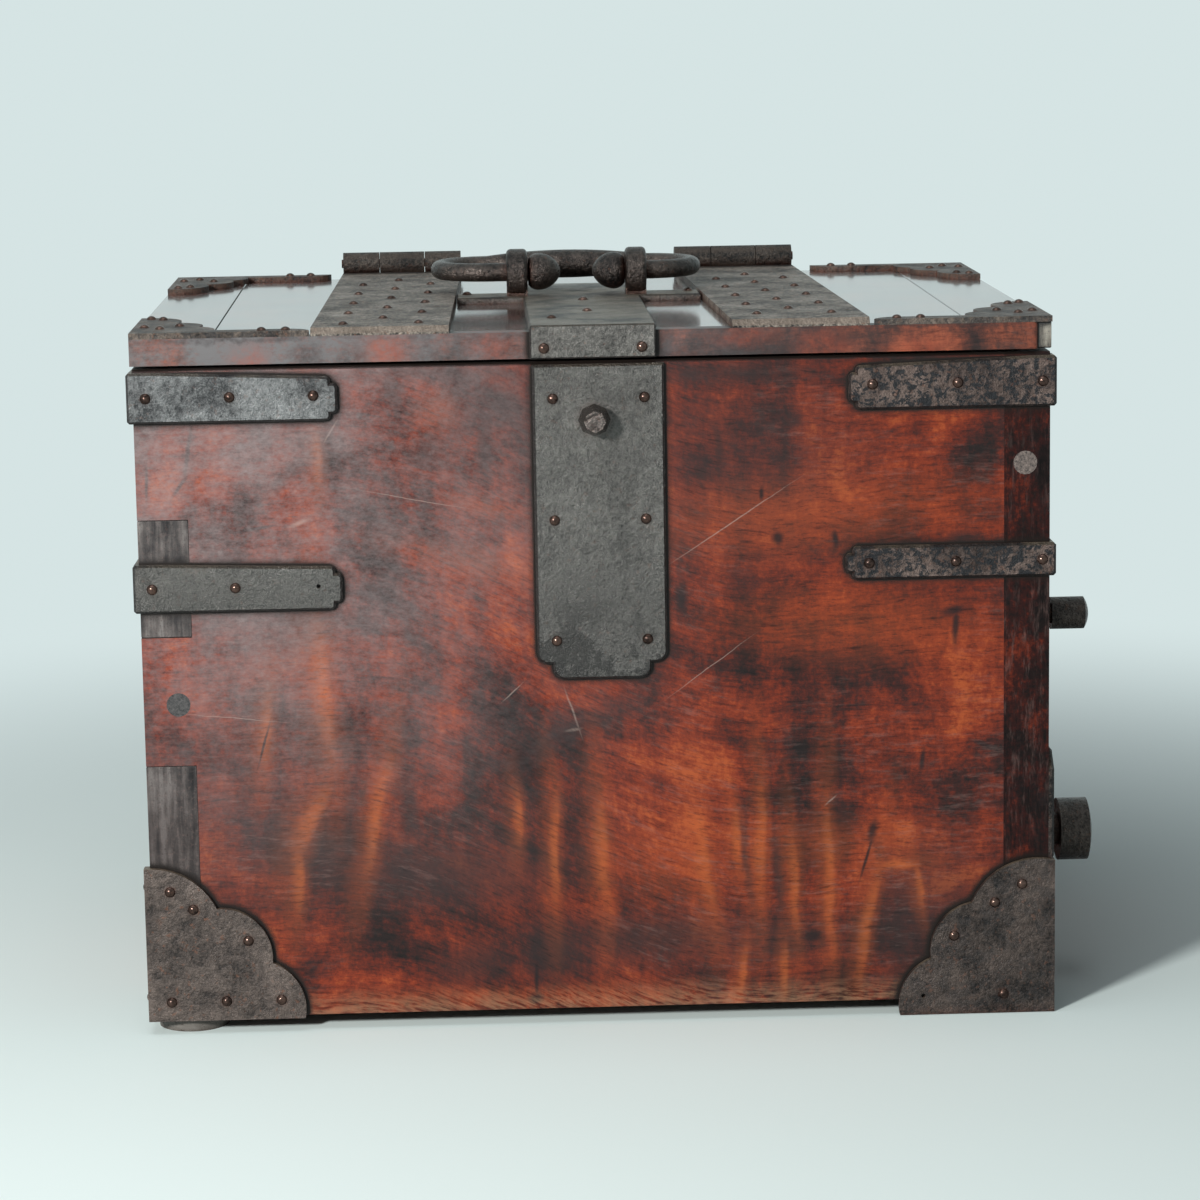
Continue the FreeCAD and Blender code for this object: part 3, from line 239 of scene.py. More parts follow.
# Tones of a board from the darkest growth to the brightest, and where each stands on the scale.
STOPS = (0.28, 0.40, 0.51, 0.62, 0.76)
RED_TONES = ((0.010, 0.006, 0.006), (0.040, 0.010, 0.008), (0.105, 0.016, 0.008), (0.185, 0.027, 0.010),
             (0.31, 0.062, 0.018))
STILE_TONES = ((0.003, 0.002, 0.002), (0.008, 0.004, 0.004), (0.026, 0.006, 0.005), (0.095, 0.015, 0.007),
               (0.20, 0.030, 0.013))
RAIL_TONES = ((0.014, 0.011, 0.011), (0.034, 0.018, 0.017), (0.085, 0.030, 0.022), (0.175, 0.050, 0.030),
              (0.30, 0.085, 0.045))
LID_TONES = ((0.014, 0.009, 0.009), (0.032, 0.012, 0.010), (0.070, 0.016, 0.011), (0.12, 0.024, 0.013),
             (0.18, 0.045, 0.020))
END_GRAIN_TONES = ((0.012, 0.011, 0.012), (0.032, 0.029, 0.030), (0.060, 0.053, 0.052),
                   (0.095, 0.083, 0.080), (0.16, 0.145, 0.14))
WORN_TONES = ((0.05, 0.04, 0.035), (0.11, 0.095, 0.08), (0.20, 0.18, 0.15), (0.31, 0.285, 0.24),
              (0.44, 0.41, 0.35))

# Noise scales along the grain and both ways across it.
CLOUD_SCALES = (13.0, 17.0, 17.0)
FIGURE_SCALES = (58.0, 13.0, 13.0)
BAND_SCALES = (9.0, 80.0, 80.0)
LINE_SCALES = (75.0, 640.0, 640.0)
PORE_SCALES = (260.0, 1400.0, 1400.0)
RUB_SCALES = (70.0, 420.0, 420.0)
SHEEN_SCALES = (12.0, 60.0, 60.0)
CRAZING_SCALE = 330.0
DENT_SCALE = 48.0
# Noise scales along X, Y and Z.
END_GRAIN_SCALES = (230.0, 230.0, 22.0)
DUST_AND_SHEEN_RUB_SCALES = (240.0, 240.0, 420.0)

# How strongly each kind of growth shows in a board's tone.
CLOUD_GAIN = 1.20
BAND_GAIN = 0.30
LINE_GAIN = 0.22
CRAZING_GAIN = 0.42

# The grain drops by this much from one X to the other.
SWEEP_DROP = 0.075
SWEEP_START = -0.14
SWEEP_END = 0.09

# The dust and its painted sheen are full at this X, and thicken from the first height to the second.
DUST_AND_SHEEN_FULL = -0.19
DUST_AND_SHEEN_HEIGHTS = (0.04, 0.26)

LACQUER_RELIEF = 0.20 * MM
BARE_RELIEF = 0.3 * MM
PEG_RELIEF = 0.4 * MM


# ---------------------------------------------------------------- wood: growth
def grain_coordinates(graph, along, shift=0.0):
    """Coordinates in which the grain runs along X, whichever way the board's grain runs."""
    turns = {"x": (0, 0, 0), "z": (0, math.radians(90), 0), "y": (0, 0, math.radians(-90))}
    node = graph.node("Mapping")
    graph.fill(node, {"Vector": graph.place, "Rotation": turns[along], "Location": (shift, shift, shift)})
    return node.outputs[0]


def swept(graph, vector):
    """Left of the middle the grain bends down to the right, as growth does below a branch."""
    axes = graph.axes(vector)
    bend = graph.times(graph.rise(axes[X], SWEEP_START, SWEEP_END), SWEEP_DROP)
    node = graph.node("CombineXYZ")
    graph.fill(node, {X: axes[X], Y: axes[Y], Z: graph.plus(axes[Z], bend)})
    return node.outputs[0]


def growth(graph, lengthwise, figure_gain):
    """Tone of a board from 0 to 1, its growth lines and its pores."""
    bent = graph.warp(lengthwise, 9.0, 10 * MM)
    cloud = graph.streaked(bent, CLOUD_SCALES, 8.0, 0.68, distortion=0.3)
    figure = graph.streaked(graph.warp(bent, 40.0, 3 * MM), FIGURE_SCALES, 5.0, 0.6)
    bands = graph.streaked(bent, BAND_SCALES, 4.0, 0.6)
    lines = graph.streaked(bent, LINE_SCALES, 4.0, 0.65)
    crazing = graph.noise(lengthwise, CRAZING_SCALE, 4.0, 0.72)
    pores = graph.streaked(lengthwise, PORE_SCALES, 2.0, 0.6)
    coarse = graph.plus(graph.boosted(cloud, CLOUD_GAIN), graph.boosted(figure, figure_gain))
    streaks = graph.plus(graph.boosted(bands, BAND_GAIN), graph.boosted(lines, LINE_GAIN))
    fine = graph.plus(streaks, graph.boosted(crazing, CRAZING_GAIN))
    return graph.plus(graph.plus(0.5, coarse), fine), lines, pores


def end_grain(graph, tones):
    """Rough upright end grain, darker on the lower part of the chest."""
    upright = graph.streaked(graph.place, END_GRAIN_SCALES, 4.0, 0.6)
    cloud = graph.noise(graph.place, 38.0, 5.0, 0.65)
    ends = graph.ramp(graph.plus(graph.boosted(upright, 1.1), cloud), STOPS, tones)
    low = graph.rise(graph.axes(graph.place)[Z], 0.17, 0.10)
    return graph.blend(low, ends, LOW_END_SHADE, "MULTIPLY")


# ---------------------------------------------------------------- wood: lacquer
def smoked(graph, colour, strength):
    """Cloudy stains of smoke."""
    clouds = graph.noise(graph.warp(graph.place, 16.0, 18 * MM), 24.0, 7.0, 0.66)
    return graph.paint(colour, graph.rise(clouds, 0.55, 0.72), strength, SMOKE)


def rubbed(graph, colour, lengthwise):
    """Fine pale rubs along the grain, in some places only."""
    rubs = graph.streaked(lengthwise, RUB_SCALES, 4.0, 0.72)
    some_places = graph.noise(graph.place, 8.0, 3.0)
    haze = graph.times(graph.rise(rubs, 0.50, 0.72), graph.rise(some_places, 0.42, 0.62))
    return graph.paint(colour, haze, 0.16, RUBBED_PALE)


def dusted_and_sheened(graph, colour, strength, end, dust_and_sheen_colour):
    """Dull dust on the upper left with a painted sheen in it, patchy and rubbed, which fades out at end."""
    axes = graph.axes(graph.place)
    patchy = graph.noise(graph.warp(graph.place, 20.0, 10 * MM), 16.0, 8.0, 0.70)
    rubs = graph.streaked(graph.place, DUST_AND_SHEEN_RUB_SCALES, 5.0, 0.78)
    spread = graph.times(graph.rise(axes[X], end, DUST_AND_SHEEN_FULL), graph.rise(axes[Z], *DUST_AND_SHEEN_HEIGHTS))
    uneven = graph.plus(graph.boosted(patchy, 4.0), graph.boosted(rubs, 2.6))
    mask = graph.times(spread, strength, graph.most(graph.plus(1.0, uneven), 0.0))
    return graph.blend(mask, colour, dust_and_sheen_colour)


def lacquered(name, along, tones=RED_TONES, stains=0.6, figure=0.4, shift=0.0, marks=None, roughness=0.40,
              coat=0.0, end_grain_on=None, end_tones=END_GRAIN_TONES, sweep=False, specular=0.22,
              dust_and_sheen=0.0, dust_and_sheen_end=0.09, dust_and_sheen_colour=FRONT_DUST_AND_SHEEN, veiled=None):
    """Old tinted lacquer over figured wood, with smoke stains, rubs, and painted shade in the corners and
    where it meets other parts. On the left lies dull dust with a painted sheen in it, from the end it is
    given to the left edge. Marks lie under that layer, veiled over it."""
    graph = Graph(name)
    lengthwise = grain_coordinates(graph, along, shift)
    if sweep:
        lengthwise = swept(graph, lengthwise)
    tone, lines, pores = growth(graph, lengthwise, figure)
    colour = graph.ramp(tone, STOPS, tones)
    if end_grain_on is not None:
        on_end = graph.rise(graph.size_of(graph.facing[end_grain_on]), 0.4, 0.6)
        colour = graph.blend(on_end, colour, end_grain(graph, end_tones))
    if marks is not None:
        colour = marks(graph, colour, lines)
    colour = smoked(graph, colour, stains)
    colour = graph.paint(colour, graph.rise(pores, 0.55, 0.70), 0.40, PORE_DARK)
    colour = graph.blend(graph.rise(lines, 0.44, 0.28), colour, LINE_SHADE, "MULTIPLY")
    colour = rubbed(graph, colour, lengthwise)
    # Dull dust with a painted sheen in it, thickest on the left.
    if dust_and_sheen:
        colour = dusted_and_sheened(graph, colour, dust_and_sheen, dust_and_sheen_end, dust_and_sheen_colour)
    if veiled is not None:
        colour = veiled(graph, colour)
    # Painted shade: darker in corners and under edges, and a dark rim where the board meets a plate or
    # another part.
    colour = graph.blend(graph.rise(graph.crevice(11 * MM), 0.07, 0.62), colour, CORNER_SHADE, "MULTIPLY")
    colour = graph.blend(graph.rise(graph.crevice(4.2 * MM), 0.06, 0.24), colour, CONTACT_SHADE)
    sheen = graph.streaked(lengthwise, SHEEN_SCALES, 4.0, 0.6)
    gloss = graph.plus(roughness - 0.08, graph.times(sheen, 0.16))
    dents = graph.noise(graph.place, DENT_SCALE, 4.0, 0.6)
    height = graph.plus(graph.times(lines, 0.35), graph.times(pores, 0.30), graph.times(dents, 1.6))
    return graph.finish(colour, gloss, normal=graph.bump(height, LACQUER_RELIEF), Coat_Weight=coat,
                        Coat_Roughness=0.09, Coat_IOR=1.5, Specular_IOR_Level=specular)


# ---------------------------------------------------------------- wood: marks on the front board
# Each mark is (x, z, half length, half width, tilt), in millimetres and degrees.
SHADED_AREAS = [
    (80, 290, 46, 42, 0), (-162, 108, 54, 44, 0), (-70, 78, 50, 16, 0), (-60, 322, 20, 22, 0),
    (-152, 205, 26, 14, 20), (34, 42, 84, 15, 0), (170, 60, 26, 30, 0),
]
WARM_AREAS = [
    (34, 84, 20, 17, 0), (124, 92, 36, 11, 0), (-55, 15, 95, 5, 0), (-79, 318, 9, 9, 0),
    (-56, 270, 18, 4, -14), (110, 262, 70, 16, 3), (130, 205, 55, 16, -4), (-60, 240, 40, 7, -16),
]
STAINS = [
    (-97, 84, 46, 15, 0), (-67, 32, 17, 9, 10), (-24, 38, 13, 14, 0), (27, 46, 30, 9, 0),
    (154, 42, 12, 26, 0), (185, 30, 12, 26, 0), (-128, 96, 4, 24, 0), (-98, 118, 4, 24, 8),
    (75, 84, 1.8, 22, 8), (90, 76, 2.2, 20, 4), (-158, 285, 11, 3, 40), (-101, 329, 4, 8, 30),
    (-46, 321, 9, 8, 0), (-80, 337, 40, 4, 0), (-84, 296, 9, 8, 0), (-55, 299, 3, 11, 0),
    (70, 335, 34, 5, 0), (62, 298, 2.6, 10, 8), (100, 309, 4, 4, 0), (-20, 150, 36, 5, 24),
    (185, 247, 8, 4, 0),
]
FLAMES = [
    (-139, 178, 34, 6.5, 94), (-147, 110, 19, 6, 66), (-155, 80, 17, 4.5, 88), (-113, 112, 28, 4.5, 78),
    (-168, 158, 18, 4, 86), (-42, 110, 13, 3, 90), (-23.5, 92, 26, 3.4, 91), (1, 90, 27, 4.4, 92),
    (54, 82, 25, 5, 98), (70, 95, 15, 3, 98), (82, 92, 29, 3.6, 90), (99, 70, 23, 3.4, 93),
    (118, 72, 36, 3.6, 91), (137, 47, 32, 4, 79), (153, 78, 11, 3.0, 2), (164, 67, 11, 2.6, 100),
    (94, 24, 13, 2.8, 90), (72, 25, 12, 2.6, 82), (-138, 297, 14, 3.2, 90),
]
DEEP_MARKS = [
    (-203.5, 300, 13, 1.1, 80), (-208, 283, 6, 1.0, 55), (-224.5, 285, 9, 0.8, 88),
    (-172, 264, 2.6, 1.8, 10), (-172, 260.6, 10, 0.8, 9), (92, 250, 2.6, 3.2, 0), (121, 249, 1.4, 4.2, 8),
    (181, 211, 5.5, 2.4, 10), (182, 203, 1.6, 9, 0), (139.5, 98, 5, 2.0, 75), (136, 83, 10, 0.7, 74),
    (165, 134, 6, 1.3, 82), (197, 141, 6, 1.3, -22), (-34.6, 13.5, 3.4, 2.8, 0), (-34.2, 24, 9, 1.0, 88),
    (-44, 173, 4.5, 0.8, 40), (-170, 150, 11, 0.6, 74), (43, 221, 3, 8, 0), (84, 273, 1.0, 3.0, 0),
    (108, 43, 5, 3, 0),
]
PALE_SCRATCHES = [
    (68, 258, 30, 0.28, 33), (57, 185, 20, 0.22, 36), (-13, 163, 10, 0.45, -72), (-13, 154, 3.4, 0.7, 8),
    (-132, 309, 5.5, 0.4, 58), (118, 114, 3.0, 0.4, 42), (-43.5, 174, 5.5, 0.3, 42),
    (-92, 274, 22, 0.22, -11), (-149, 263, 4.5, 1.0, 22), (-185, 164, 20, 0.2, -6),
]

SHADE = (0.035, 0.022, 0.022)
WARMTH = (0.42, 0.085, 0.024)
STAIN = (0.024, 0.015, 0.015)
FLAME_GLOW = (0.36, 0.078, 0.022)
FLAME_CORE = (0.50, 0.125, 0.030)
DEEP_DARK = (0.010, 0.008, 0.009)
SCRATCH_PALE = (0.40, 0.30, 0.26)
WORN_EDGE = (0.36, 0.22, 0.13)
# One long side of each flame is sharper by this factor.
FLAME_LEAN = 1.8
# The front board's lower edge wears off below the first height, and most below the second.
WORN_EDGE_HEIGHTS = (0.024, 0.006)


def front_marks(graph, colour, lines):
    """What the front board alone carries: cross flames, stains, knots, nicks, scratches and a worn edge."""
    loose = graph.warp(graph.place, 24.0, 5 * MM)
    tight = graph.warp(graph.place, 60.0, 0.8 * MM)
    stroke = graph.plus(0.66, graph.boosted(lines, 1.0))
    colour = graph.paint(colour, graph.ovals(loose, SHADED_AREAS, 0.98), 0.48, SHADE)
    warm = graph.times(graph.ovals(loose, WARM_AREAS, 0.98), stroke)
    colour = graph.paint(colour, warm, 0.30, WARMTH)
    colour = graph.paint(colour, graph.ovals(loose, STAINS, 0.95), 0.72, STAIN)
    flames = graph.far_from(loose, FLAMES, FLAME_LEAN)
    colour = graph.paint(colour, graph.times(graph.rise(flames, 3.4, 0.6), stroke), 0.34, FLAME_GLOW)
    colour = graph.paint(colour, graph.times(graph.rise(flames, 1.5, 0.1), stroke), 0.46, FLAME_CORE)
    colour = graph.paint(colour, graph.ovals(tight, DEEP_MARKS, 0.7), 0.88, DEEP_DARK)
    colour = graph.paint(colour, graph.ovals(tight, PALE_SCRATCHES, 0.8), 0.42, SCRATCH_PALE)
    low = graph.rise(graph.axes(loose)[Z], *WORN_EDGE_HEIGHTS)
    return graph.paint(colour, graph.times(low, graph.rise(lines, 0.36, 0.60)), 0.42, WORN_EDGE)


# ---------------------------------------------------------------- wood: marks on the lid's front rail
RAIL_STAINS = [
    (-142, 346, 7, 7, 0), (-121, 344, 7, 6, 0), (-73, 343, 8, 7, 0), (91, 348, 10, 5, 0),
    (52, 342, 9, 8, 0), (140, 352, 14, 4, 0), (-205, 347, 5, 1.5, 40), (205, 343, 12, 4, 0),
    (-180, 356, 50, 1.4, 0), (150, 357, 60, 1.4, 0),
]
RAIL_WARM_AREAS = [
    (-171, 344, 9, 8, 0), (-103, 347, 11, 8, 0), (-51, 349, 9, 6, 0), (78, 352, 13, 4, 0),
    (116, 347, 13, 8, 0), (165, 345, 16, 6, 0),
]
RAIL_RED = (0.30, 0.060, 0.030)
RAIL_SMUDGE = (0.030, 0.024, 0.024)


def rail_marks(graph, colour):
    """Smudges and worn red patches on the lid's front rail."""
    loose = graph.warp(graph.place, 110.0, 5 * MM)
    stroke = graph.plus(0.60, graph.boosted(graph.noise(graph.place, 230.0, 5.0, 0.75), 2.6))
    warm = graph.times(graph.ovals(loose, RAIL_WARM_AREAS, 0.9), stroke)
    colour = graph.paint(colour, warm, 0.50, RAIL_RED)
    stained = graph.times(graph.ovals(loose, RAIL_STAINS, 0.9), stroke)
    return graph.paint(colour, stained, 0.80, RAIL_SMUDGE)


# ---------------------------------------------------------------- wood: the kinds of board
front_wood = lacquered("front_lacquer", "x", figure=0.55, stains=0.45, marks=front_marks, sweep=True,
                       dust_and_sheen=0.45)
back_wood = lacquered("back_lacquer", "x", figure=0.7, shift=3.1)
end_wood = lacquered("end_lacquer", "y", figure=0.5, shift=0.7, end_grain_on=Y)
drawer_wood = lacquered("drawer_lacquer", "y", figure=0.5, shift=4.2)
stile_wood = lacquered("stile_lacquer", "z", STILE_TONES, figure=0.3, shift=1.3, specular=0.12)
rail_wood = lacquered("rail_lacquer", "x", RAIL_TONES, stains=0.75, figure=0.6, shift=2.2, dust_and_sheen=0.72,
                      dust_and_sheen_end=0.20, dust_and_sheen_colour=RAIL_DUST_AND_SHEEN, veiled=rail_marks)
lid_wood = lacquered("lid_lacquer", "x", LID_TONES, roughness=0.32, coat=1.0, shift=0.4)
batten_wood = lacquered("batten_lacquer", "y", LID_TONES, roughness=0.32, coat=1.0, shift=5.0,
                        end_grain_on=Y, end_tones=WORN_TONES)

BARE_PORE_SHADE = (0.35, 0.30, 0.26)
BARE_CREVICE_SHADE = (0.03, 0.02, 0.014)


def bare_wood(name, dark, light):
    """Wood with no lacquer left on it."""
    graph = Graph(name)
    tone, lines, pores = growth(graph, grain_coordinates(graph, "x"), 0.2)
    middle = tuple((low + high) / 2 for low, high in zip(dark, light))
    colour = graph.ramp(tone, (0.3, 0.52, 0.75), (dark, middle, light))
    colour = graph.blend(graph.rise(pores, 0.58, 0.70), colour, BARE_PORE_SHADE, "MULTIPLY")
    # Painted shade in corners and creases.
    colour = graph.blend(graph.rise(graph.crevice(6 * MM), 0.15, 0.7), colour, BARE_CREVICE_SHADE)
    height = graph.plus(lines, graph.times(pores, 0.5))
    return graph.finish(colour, 0.75, normal=graph.bump(height, BARE_RELIEF))


plain_wood = bare_wood("inner_wood", (0.20, 0.11, 0.055), (0.46, 0.30, 0.17))
foot_wood = bare_wood("foot_wood", (0.06, 0.05, 0.045), (0.18, 0.165, 0.15))

LEFT_PEG_TONES = ((0.008, 0.008, 0.009), (0.060, 0.056, 0.056))
RIGHT_PEG_TONES = ((0.020, 0.015, 0.014), (0.185, 0.145, 0.128))


def end_grain_pegs():
    """The ends of two pegs: speckled end grain, dark on the left, worn pale on the right."""
    graph = Graph("plug_wood")
    specks = graph.noise(graph.place, 620.0, 4.0, 0.7)
    dark = graph.ramp(specks, (0.38, 0.62), LEFT_PEG_TONES)
    pale = graph.ramp(specks, (0.36, 0.64), RIGHT_PEG_TONES)
    on_the_right = graph.rise(graph.axes(graph.place)[X], -0.01, 0.01)
    colour = graph.blend(on_the_right, dark, pale)
    # Painted shade in the creases round the pegs.
    colour = graph.blend(graph.rise(graph.crevice(3 * MM), 0.1, 0.5), colour, CONTACT_SHADE)
    return graph.finish(colour, 0.6, normal=graph.bump(specks, PEG_RELIEF))


plug_wood = end_grain_pegs()

# ---------------------------------------------------------------- iron
SKIN_SCALE = 430.0
BROAD_SCALE = 36.0
FINE_SCALE = 1100.0
SPECK_SCALE = 300.0
BLOOM_SCALE = 52.0
SKIN_GAIN = 0.62
FINE_GAIN = 0.36

# Painted shade for the chamfered edges of iron.
SHADED_EDGE = (0.012, 0.010, 0.010)
LACQUER_LEFT = (0.016, 0.018, 0.021)
RUST = (0.15, 0.068, 0.042)
RUST_HALO = (0.115, 0.045, 0.028)
# Painted shade for the creases where iron meets wood.
IRON_CREVICE_SHADE = (0.026, 0.012, 0.009)
SCORCH = (0.020, 0.019, 0.019)
# Wear with a painted highlight.
WORN_HIGHLIGHT_IRON = (0.34, 0.30, 0.285)
REAR_SHADE = (0.26, 0.25, 0.25)

# Scorched iron is darkest below the second of these heights.
SCORCH_HEIGHTS = (0.250, 0.196)
# The height of the hammer marks on iron whose relief is 1.
HAMMERED_RELIEF = 0.75 * MM


def rust_mask(graph, strength):
    """Small specks and larger blooms of rust."""
    specks = graph.noise(graph.place, SPECK_SCALE, 4.0, 0.65)
    blooms = graph.noise(graph.warp(graph.place, 30.0, 10 * MM), BLOOM_SCALE, 6.0, 0.74)
    small = graph.times(graph.rise(specks, 0.60, 0.68), 0.7)
    return graph.times(graph.most(small, graph.rise(blooms, 0.60, 0.78)), strength)


def edged(graph, colour, skin, edge, edge_strength, rust):
    """Edges in the edge colour (black ones painted shade, pale ones wear), painted shade as a dark outline
    where a plate meets the wood, and rust beside it.
    """
    flattest = graph.most(*(graph.size_of(graph.facing[axis]) for axis in (X, Y, Z)))
    # Chamfers in the edge colour: black is painted shade, pale is wear. Then painted shade darkens the
    # creases where a plate meets the wood.
    colour = graph.paint(colour, graph.rise(flattest, 0.96, 0.80), edge_strength, edge)
    colour = graph.paint(colour, graph.rise(graph.crevice(2.6 * MM), 0.12, 0.45), 0.92, IRON_CREVICE_SHADE)
    halo = graph.times(graph.rise(graph.crevice(6 * MM), 0.10, 0.40), graph.rise(skin, 0.34, 0.60))
    return graph.paint(colour, halo, 0.7 * rust, RUST_HALO)


def iron(name, dark, light, *, rust, gloss, relief, metallic, patches=0.0, patch_scale=150.0, dust=0.0,
         edge=SHADED_EDGE, edge_strength=0.85, cloud=1.0, grit=1.0, specular=0.5, front_wear_and_highlight=0.0,
         dark_from=None, scorched=False):
    """Hammered iron under old black lacquer: leathery relief, rust specks, edges (black ones painted shade,
    pale ones wear), dusty ledges. A lighter front is wear with a painted highlight. Behind dark_from it
    lies in shade. Cloud and grit say how strongly its coarse and fine tones show."""
    graph = Graph(name)
    skin = graph.noise(graph.place, SKIN_SCALE, 4.0, 0.66)
    broad = graph.noise(graph.warp(graph.place, 40.0, 4 * MM), BROAD_SCALE, 6.0, 0.66)
    fine = graph.noise(graph.place, FINE_SCALE, 3.0, 0.6)
    gritty = graph.plus(graph.boosted(skin, SKIN_GAIN * grit), graph.boosted(fine, FINE_GAIN * grit))
    tone = graph.plus(graph.plus(0.5, graph.boosted(broad, cloud)), gritty)
    colour = graph.ramp(tone, (0.30, 0.70), (dark, light))
    flakes = graph.noise(graph.warp(graph.place, 80.0, 6 * MM), patch_scale, 7.0, 0.72)
    colour = graph.paint(colour, graph.rise(flakes, 0.47, 0.54), patches, LACQUER_LEFT)
    rusted = rust_mask(graph, rust)
    colour = graph.blend(rusted, colour, RUST)
    colour = edged(graph, colour, skin, edge, edge_strength, rust)
    if scorched:
        low = graph.rise(graph.axes(graph.place)[Z], *SCORCH_HEIGHTS)
        burnt = graph.times(low, graph.rise(graph.plus(broad, graph.boosted(skin, 0.7)), 0.44, 0.58))
        colour = graph.paint(colour, burnt, 0.80, SCORCH)
    # Wear and a painted highlight on faces that look front or back.
    if front_wear_and_highlight:
        front = graph.rise(graph.size_of(graph.facing[Y]), 0.86, 0.98)
        wear_and_highlight = graph.times(front, graph.rise(skin, 0.34, 0.66))
        colour = graph.paint(colour, wear_and_highlight, front_wear_and_highlight, WORN_HIGHLIGHT_IRON)
    if dark_from is not None:
        behind = graph.rise(graph.axes(graph.place)[Y], dark_from - 6 * MM, dark_from + 4 * MM)
        colour = graph.blend(behind, colour, REAR_SHADE, "MULTIPLY")
    if dust:
        ledge = graph.times(graph.rise(graph.facing[Z], 0.6, 0.9), graph.rise(broad, 0.38, 0.55))
        colour = graph.paint(colour, ledge, dust, DUST)
    height = graph.plus(graph.times(skin, 1.3), graph.times(fine, 0.45), graph.times(broad, 1.2))
    worn = graph.plus(graph.boosted(broad, -0.5), graph.times(rusted, 0.25))
    roughness = graph.plus(graph.plus(gloss - 0.08, graph.times(skin, 0.16)), worn)
    return graph.finish(colour, roughness, metallic=metallic, Specular_IOR_Level=specular,
                        normal=graph.bump(height, HAMMERED_RELIEF * relief))


# The left straps and corner irons are lighter than the right ones, partly as painted light since the light
# falls from the left, and partly from differences in their rust and flaked lacquer.
left_iron = iron("left_strap_iron", (0.030, 0.031, 0.033), (0.225, 0.230, 0.232),
                 rust=0.30, gloss=0.38, relief=1.4, metallic=0.5, dust=0.5)
right_iron = iron("right_strap_iron", (0.032, 0.023, 0.021), (0.150, 0.110, 0.096),
                  rust=0.45, gloss=0.46, relief=1.3, metallic=0.4, patches=0.95, patch_scale=240.0,
                  dust=0.6, specular=0.2)
left_corner_iron = iron("left_corner_iron", (0.016, 0.012, 0.011), (0.130, 0.100, 0.087),
                        rust=0.9, gloss=0.44, relief=1.4, metallic=0.35, dust=0.5, specular=0.4)
right_corner_iron = iron("right_corner_iron", (0.004, 0.003, 0.003), (0.098, 0.074, 0.064),
                         rust=0.5, gloss=0.44, relief=1.3, metallic=0.35, patches=0.3, dust=0.5,
                         specular=0.3)
lock_iron = iron("lock_iron", (0.028, 0.027, 0.026), (0.205, 0.196, 0.184),
                 rust=0.30, gloss=0.36, relief=2.2, metallic=0.5, patches=0.10, dust=0.5, cloud=0.45,
                 grit=0.75, scorched=True)
cross_iron = iron("cross_plate_iron", (0.024, 0.023, 0.022), (0.165, 0.157, 0.147),
                  rust=0.40, gloss=0.38, relief=1.6, metallic=0.35, patches=0.10, dust=0.35, cloud=0.9,
                  specular=0.3)
lid_iron = iron("lid_iron", (0.010, 0.008, 0.007), (0.320, 0.272, 0.230),
                rust=0.75, gloss=0.50, relief=1.4, metallic=0.0, patches=0.5, patch_scale=420.0,
                edge=(0.20, 0.16, 0.13), edge_strength=0.6, grit=1.9, specular=0.25, dark_from=0.156)
lid_corner_iron = iron("lid_corner_iron", (0.012, 0.009, 0.008), (0.150, 0.118, 0.098),
                       rust=0.9, gloss=0.48, relief=1.3, metallic=0.0, patches=0.6,
                       edge=(0.10, 0.07, 0.055), edge_strength=0.5, cloud=1.3, specular=0.25)
bail_iron = iron("bail_iron", (0.006, 0.005, 0.005), (0.085, 0.067, 0.059),
                 rust=0.35, gloss=0.30, relief=1.1, metallic=0.75, edge_strength=0.0)
nail_iron = iron("nail_iron", (0.020, 0.012, 0.010), (0.130, 0.078, 0.062),
                 rust=0.35, gloss=0.24, relief=0.12, metallic=0.85, edge_strength=0.0)
# The knob's pale edges and its lighter front are wear and a painted highlight.
knob_iron = iron("knob_iron", (0.008, 0.006, 0.006), (0.085, 0.064, 0.056),
                 rust=0.3, gloss=0.25, relief=0.8, metallic=0.85, edge=(0.24, 0.20, 0.18),
                 edge_strength=0.35, front_wear_and_highlight=0.28)

# ---------------------------------------------------------------- which piece is made of what
LOOKS = {
    "front_board": front_wood, "back_board": back_wood, "left_end_board": end_wood,
    "front_stile": stile_wood, "rear_stile": stile_wood, "till_end_board": drawer_wood,
    "bottom_board": drawer_wood, "drawer_divider": drawer_wood,
    "upper_drawer_front": drawer_wood, "lower_drawer_front": drawer_wood,
    "till_floor": plain_wood, "drawer_guides": plain_wood,
    "upper_drawer_frame": plain_wood, "upper_drawer_bottom": plain_wood,
    "lower_drawer_frame": plain_wood, "lower_drawer_bottom": plain_wood,
    "lid_front_rail": rail_wood, "lid_panel": lid_wood,
    "lid_batten_left": batten_wood, "lid_batten_right": batten_wood,
    "lock_plate": lock_iron, "waist_strap_front_left": lock_iron, "lid_centre_plate": cross_iron,
    "jamb_plates": right_corner_iron, "feet": foot_wood, "joint_plugs": plug_wood,
    "latch_knob": knob_iron, "hinge_pins": nail_iron,
}


def look_of(name):
    """A piece's material: its own, or that of its kind. What is left is the hinges' iron."""
    if name in LOOKS:
        return LOOKS[name]
    on_the_left = name.endswith("left")
    if name.endswith("_nails"):
        return nail_iron
    if name.startswith("corner_iron"):
        return left_corner_iron if on_the_left else right_corner_iron
    if name.startswith("lid_iron"):
        return lid_corner_iron
    if name.startswith(("upper_strap", "waist_strap")):
        return left_iron if on_the_left else right_iron
    if name.startswith(("bail", "latch")) or name.endswith("_knobs"):
        return bail_iron
    return lid_iron


for node_name, item in nodes.items():
    item.data.materials.clear()
    item.data.materials.append(look_of(node_name))

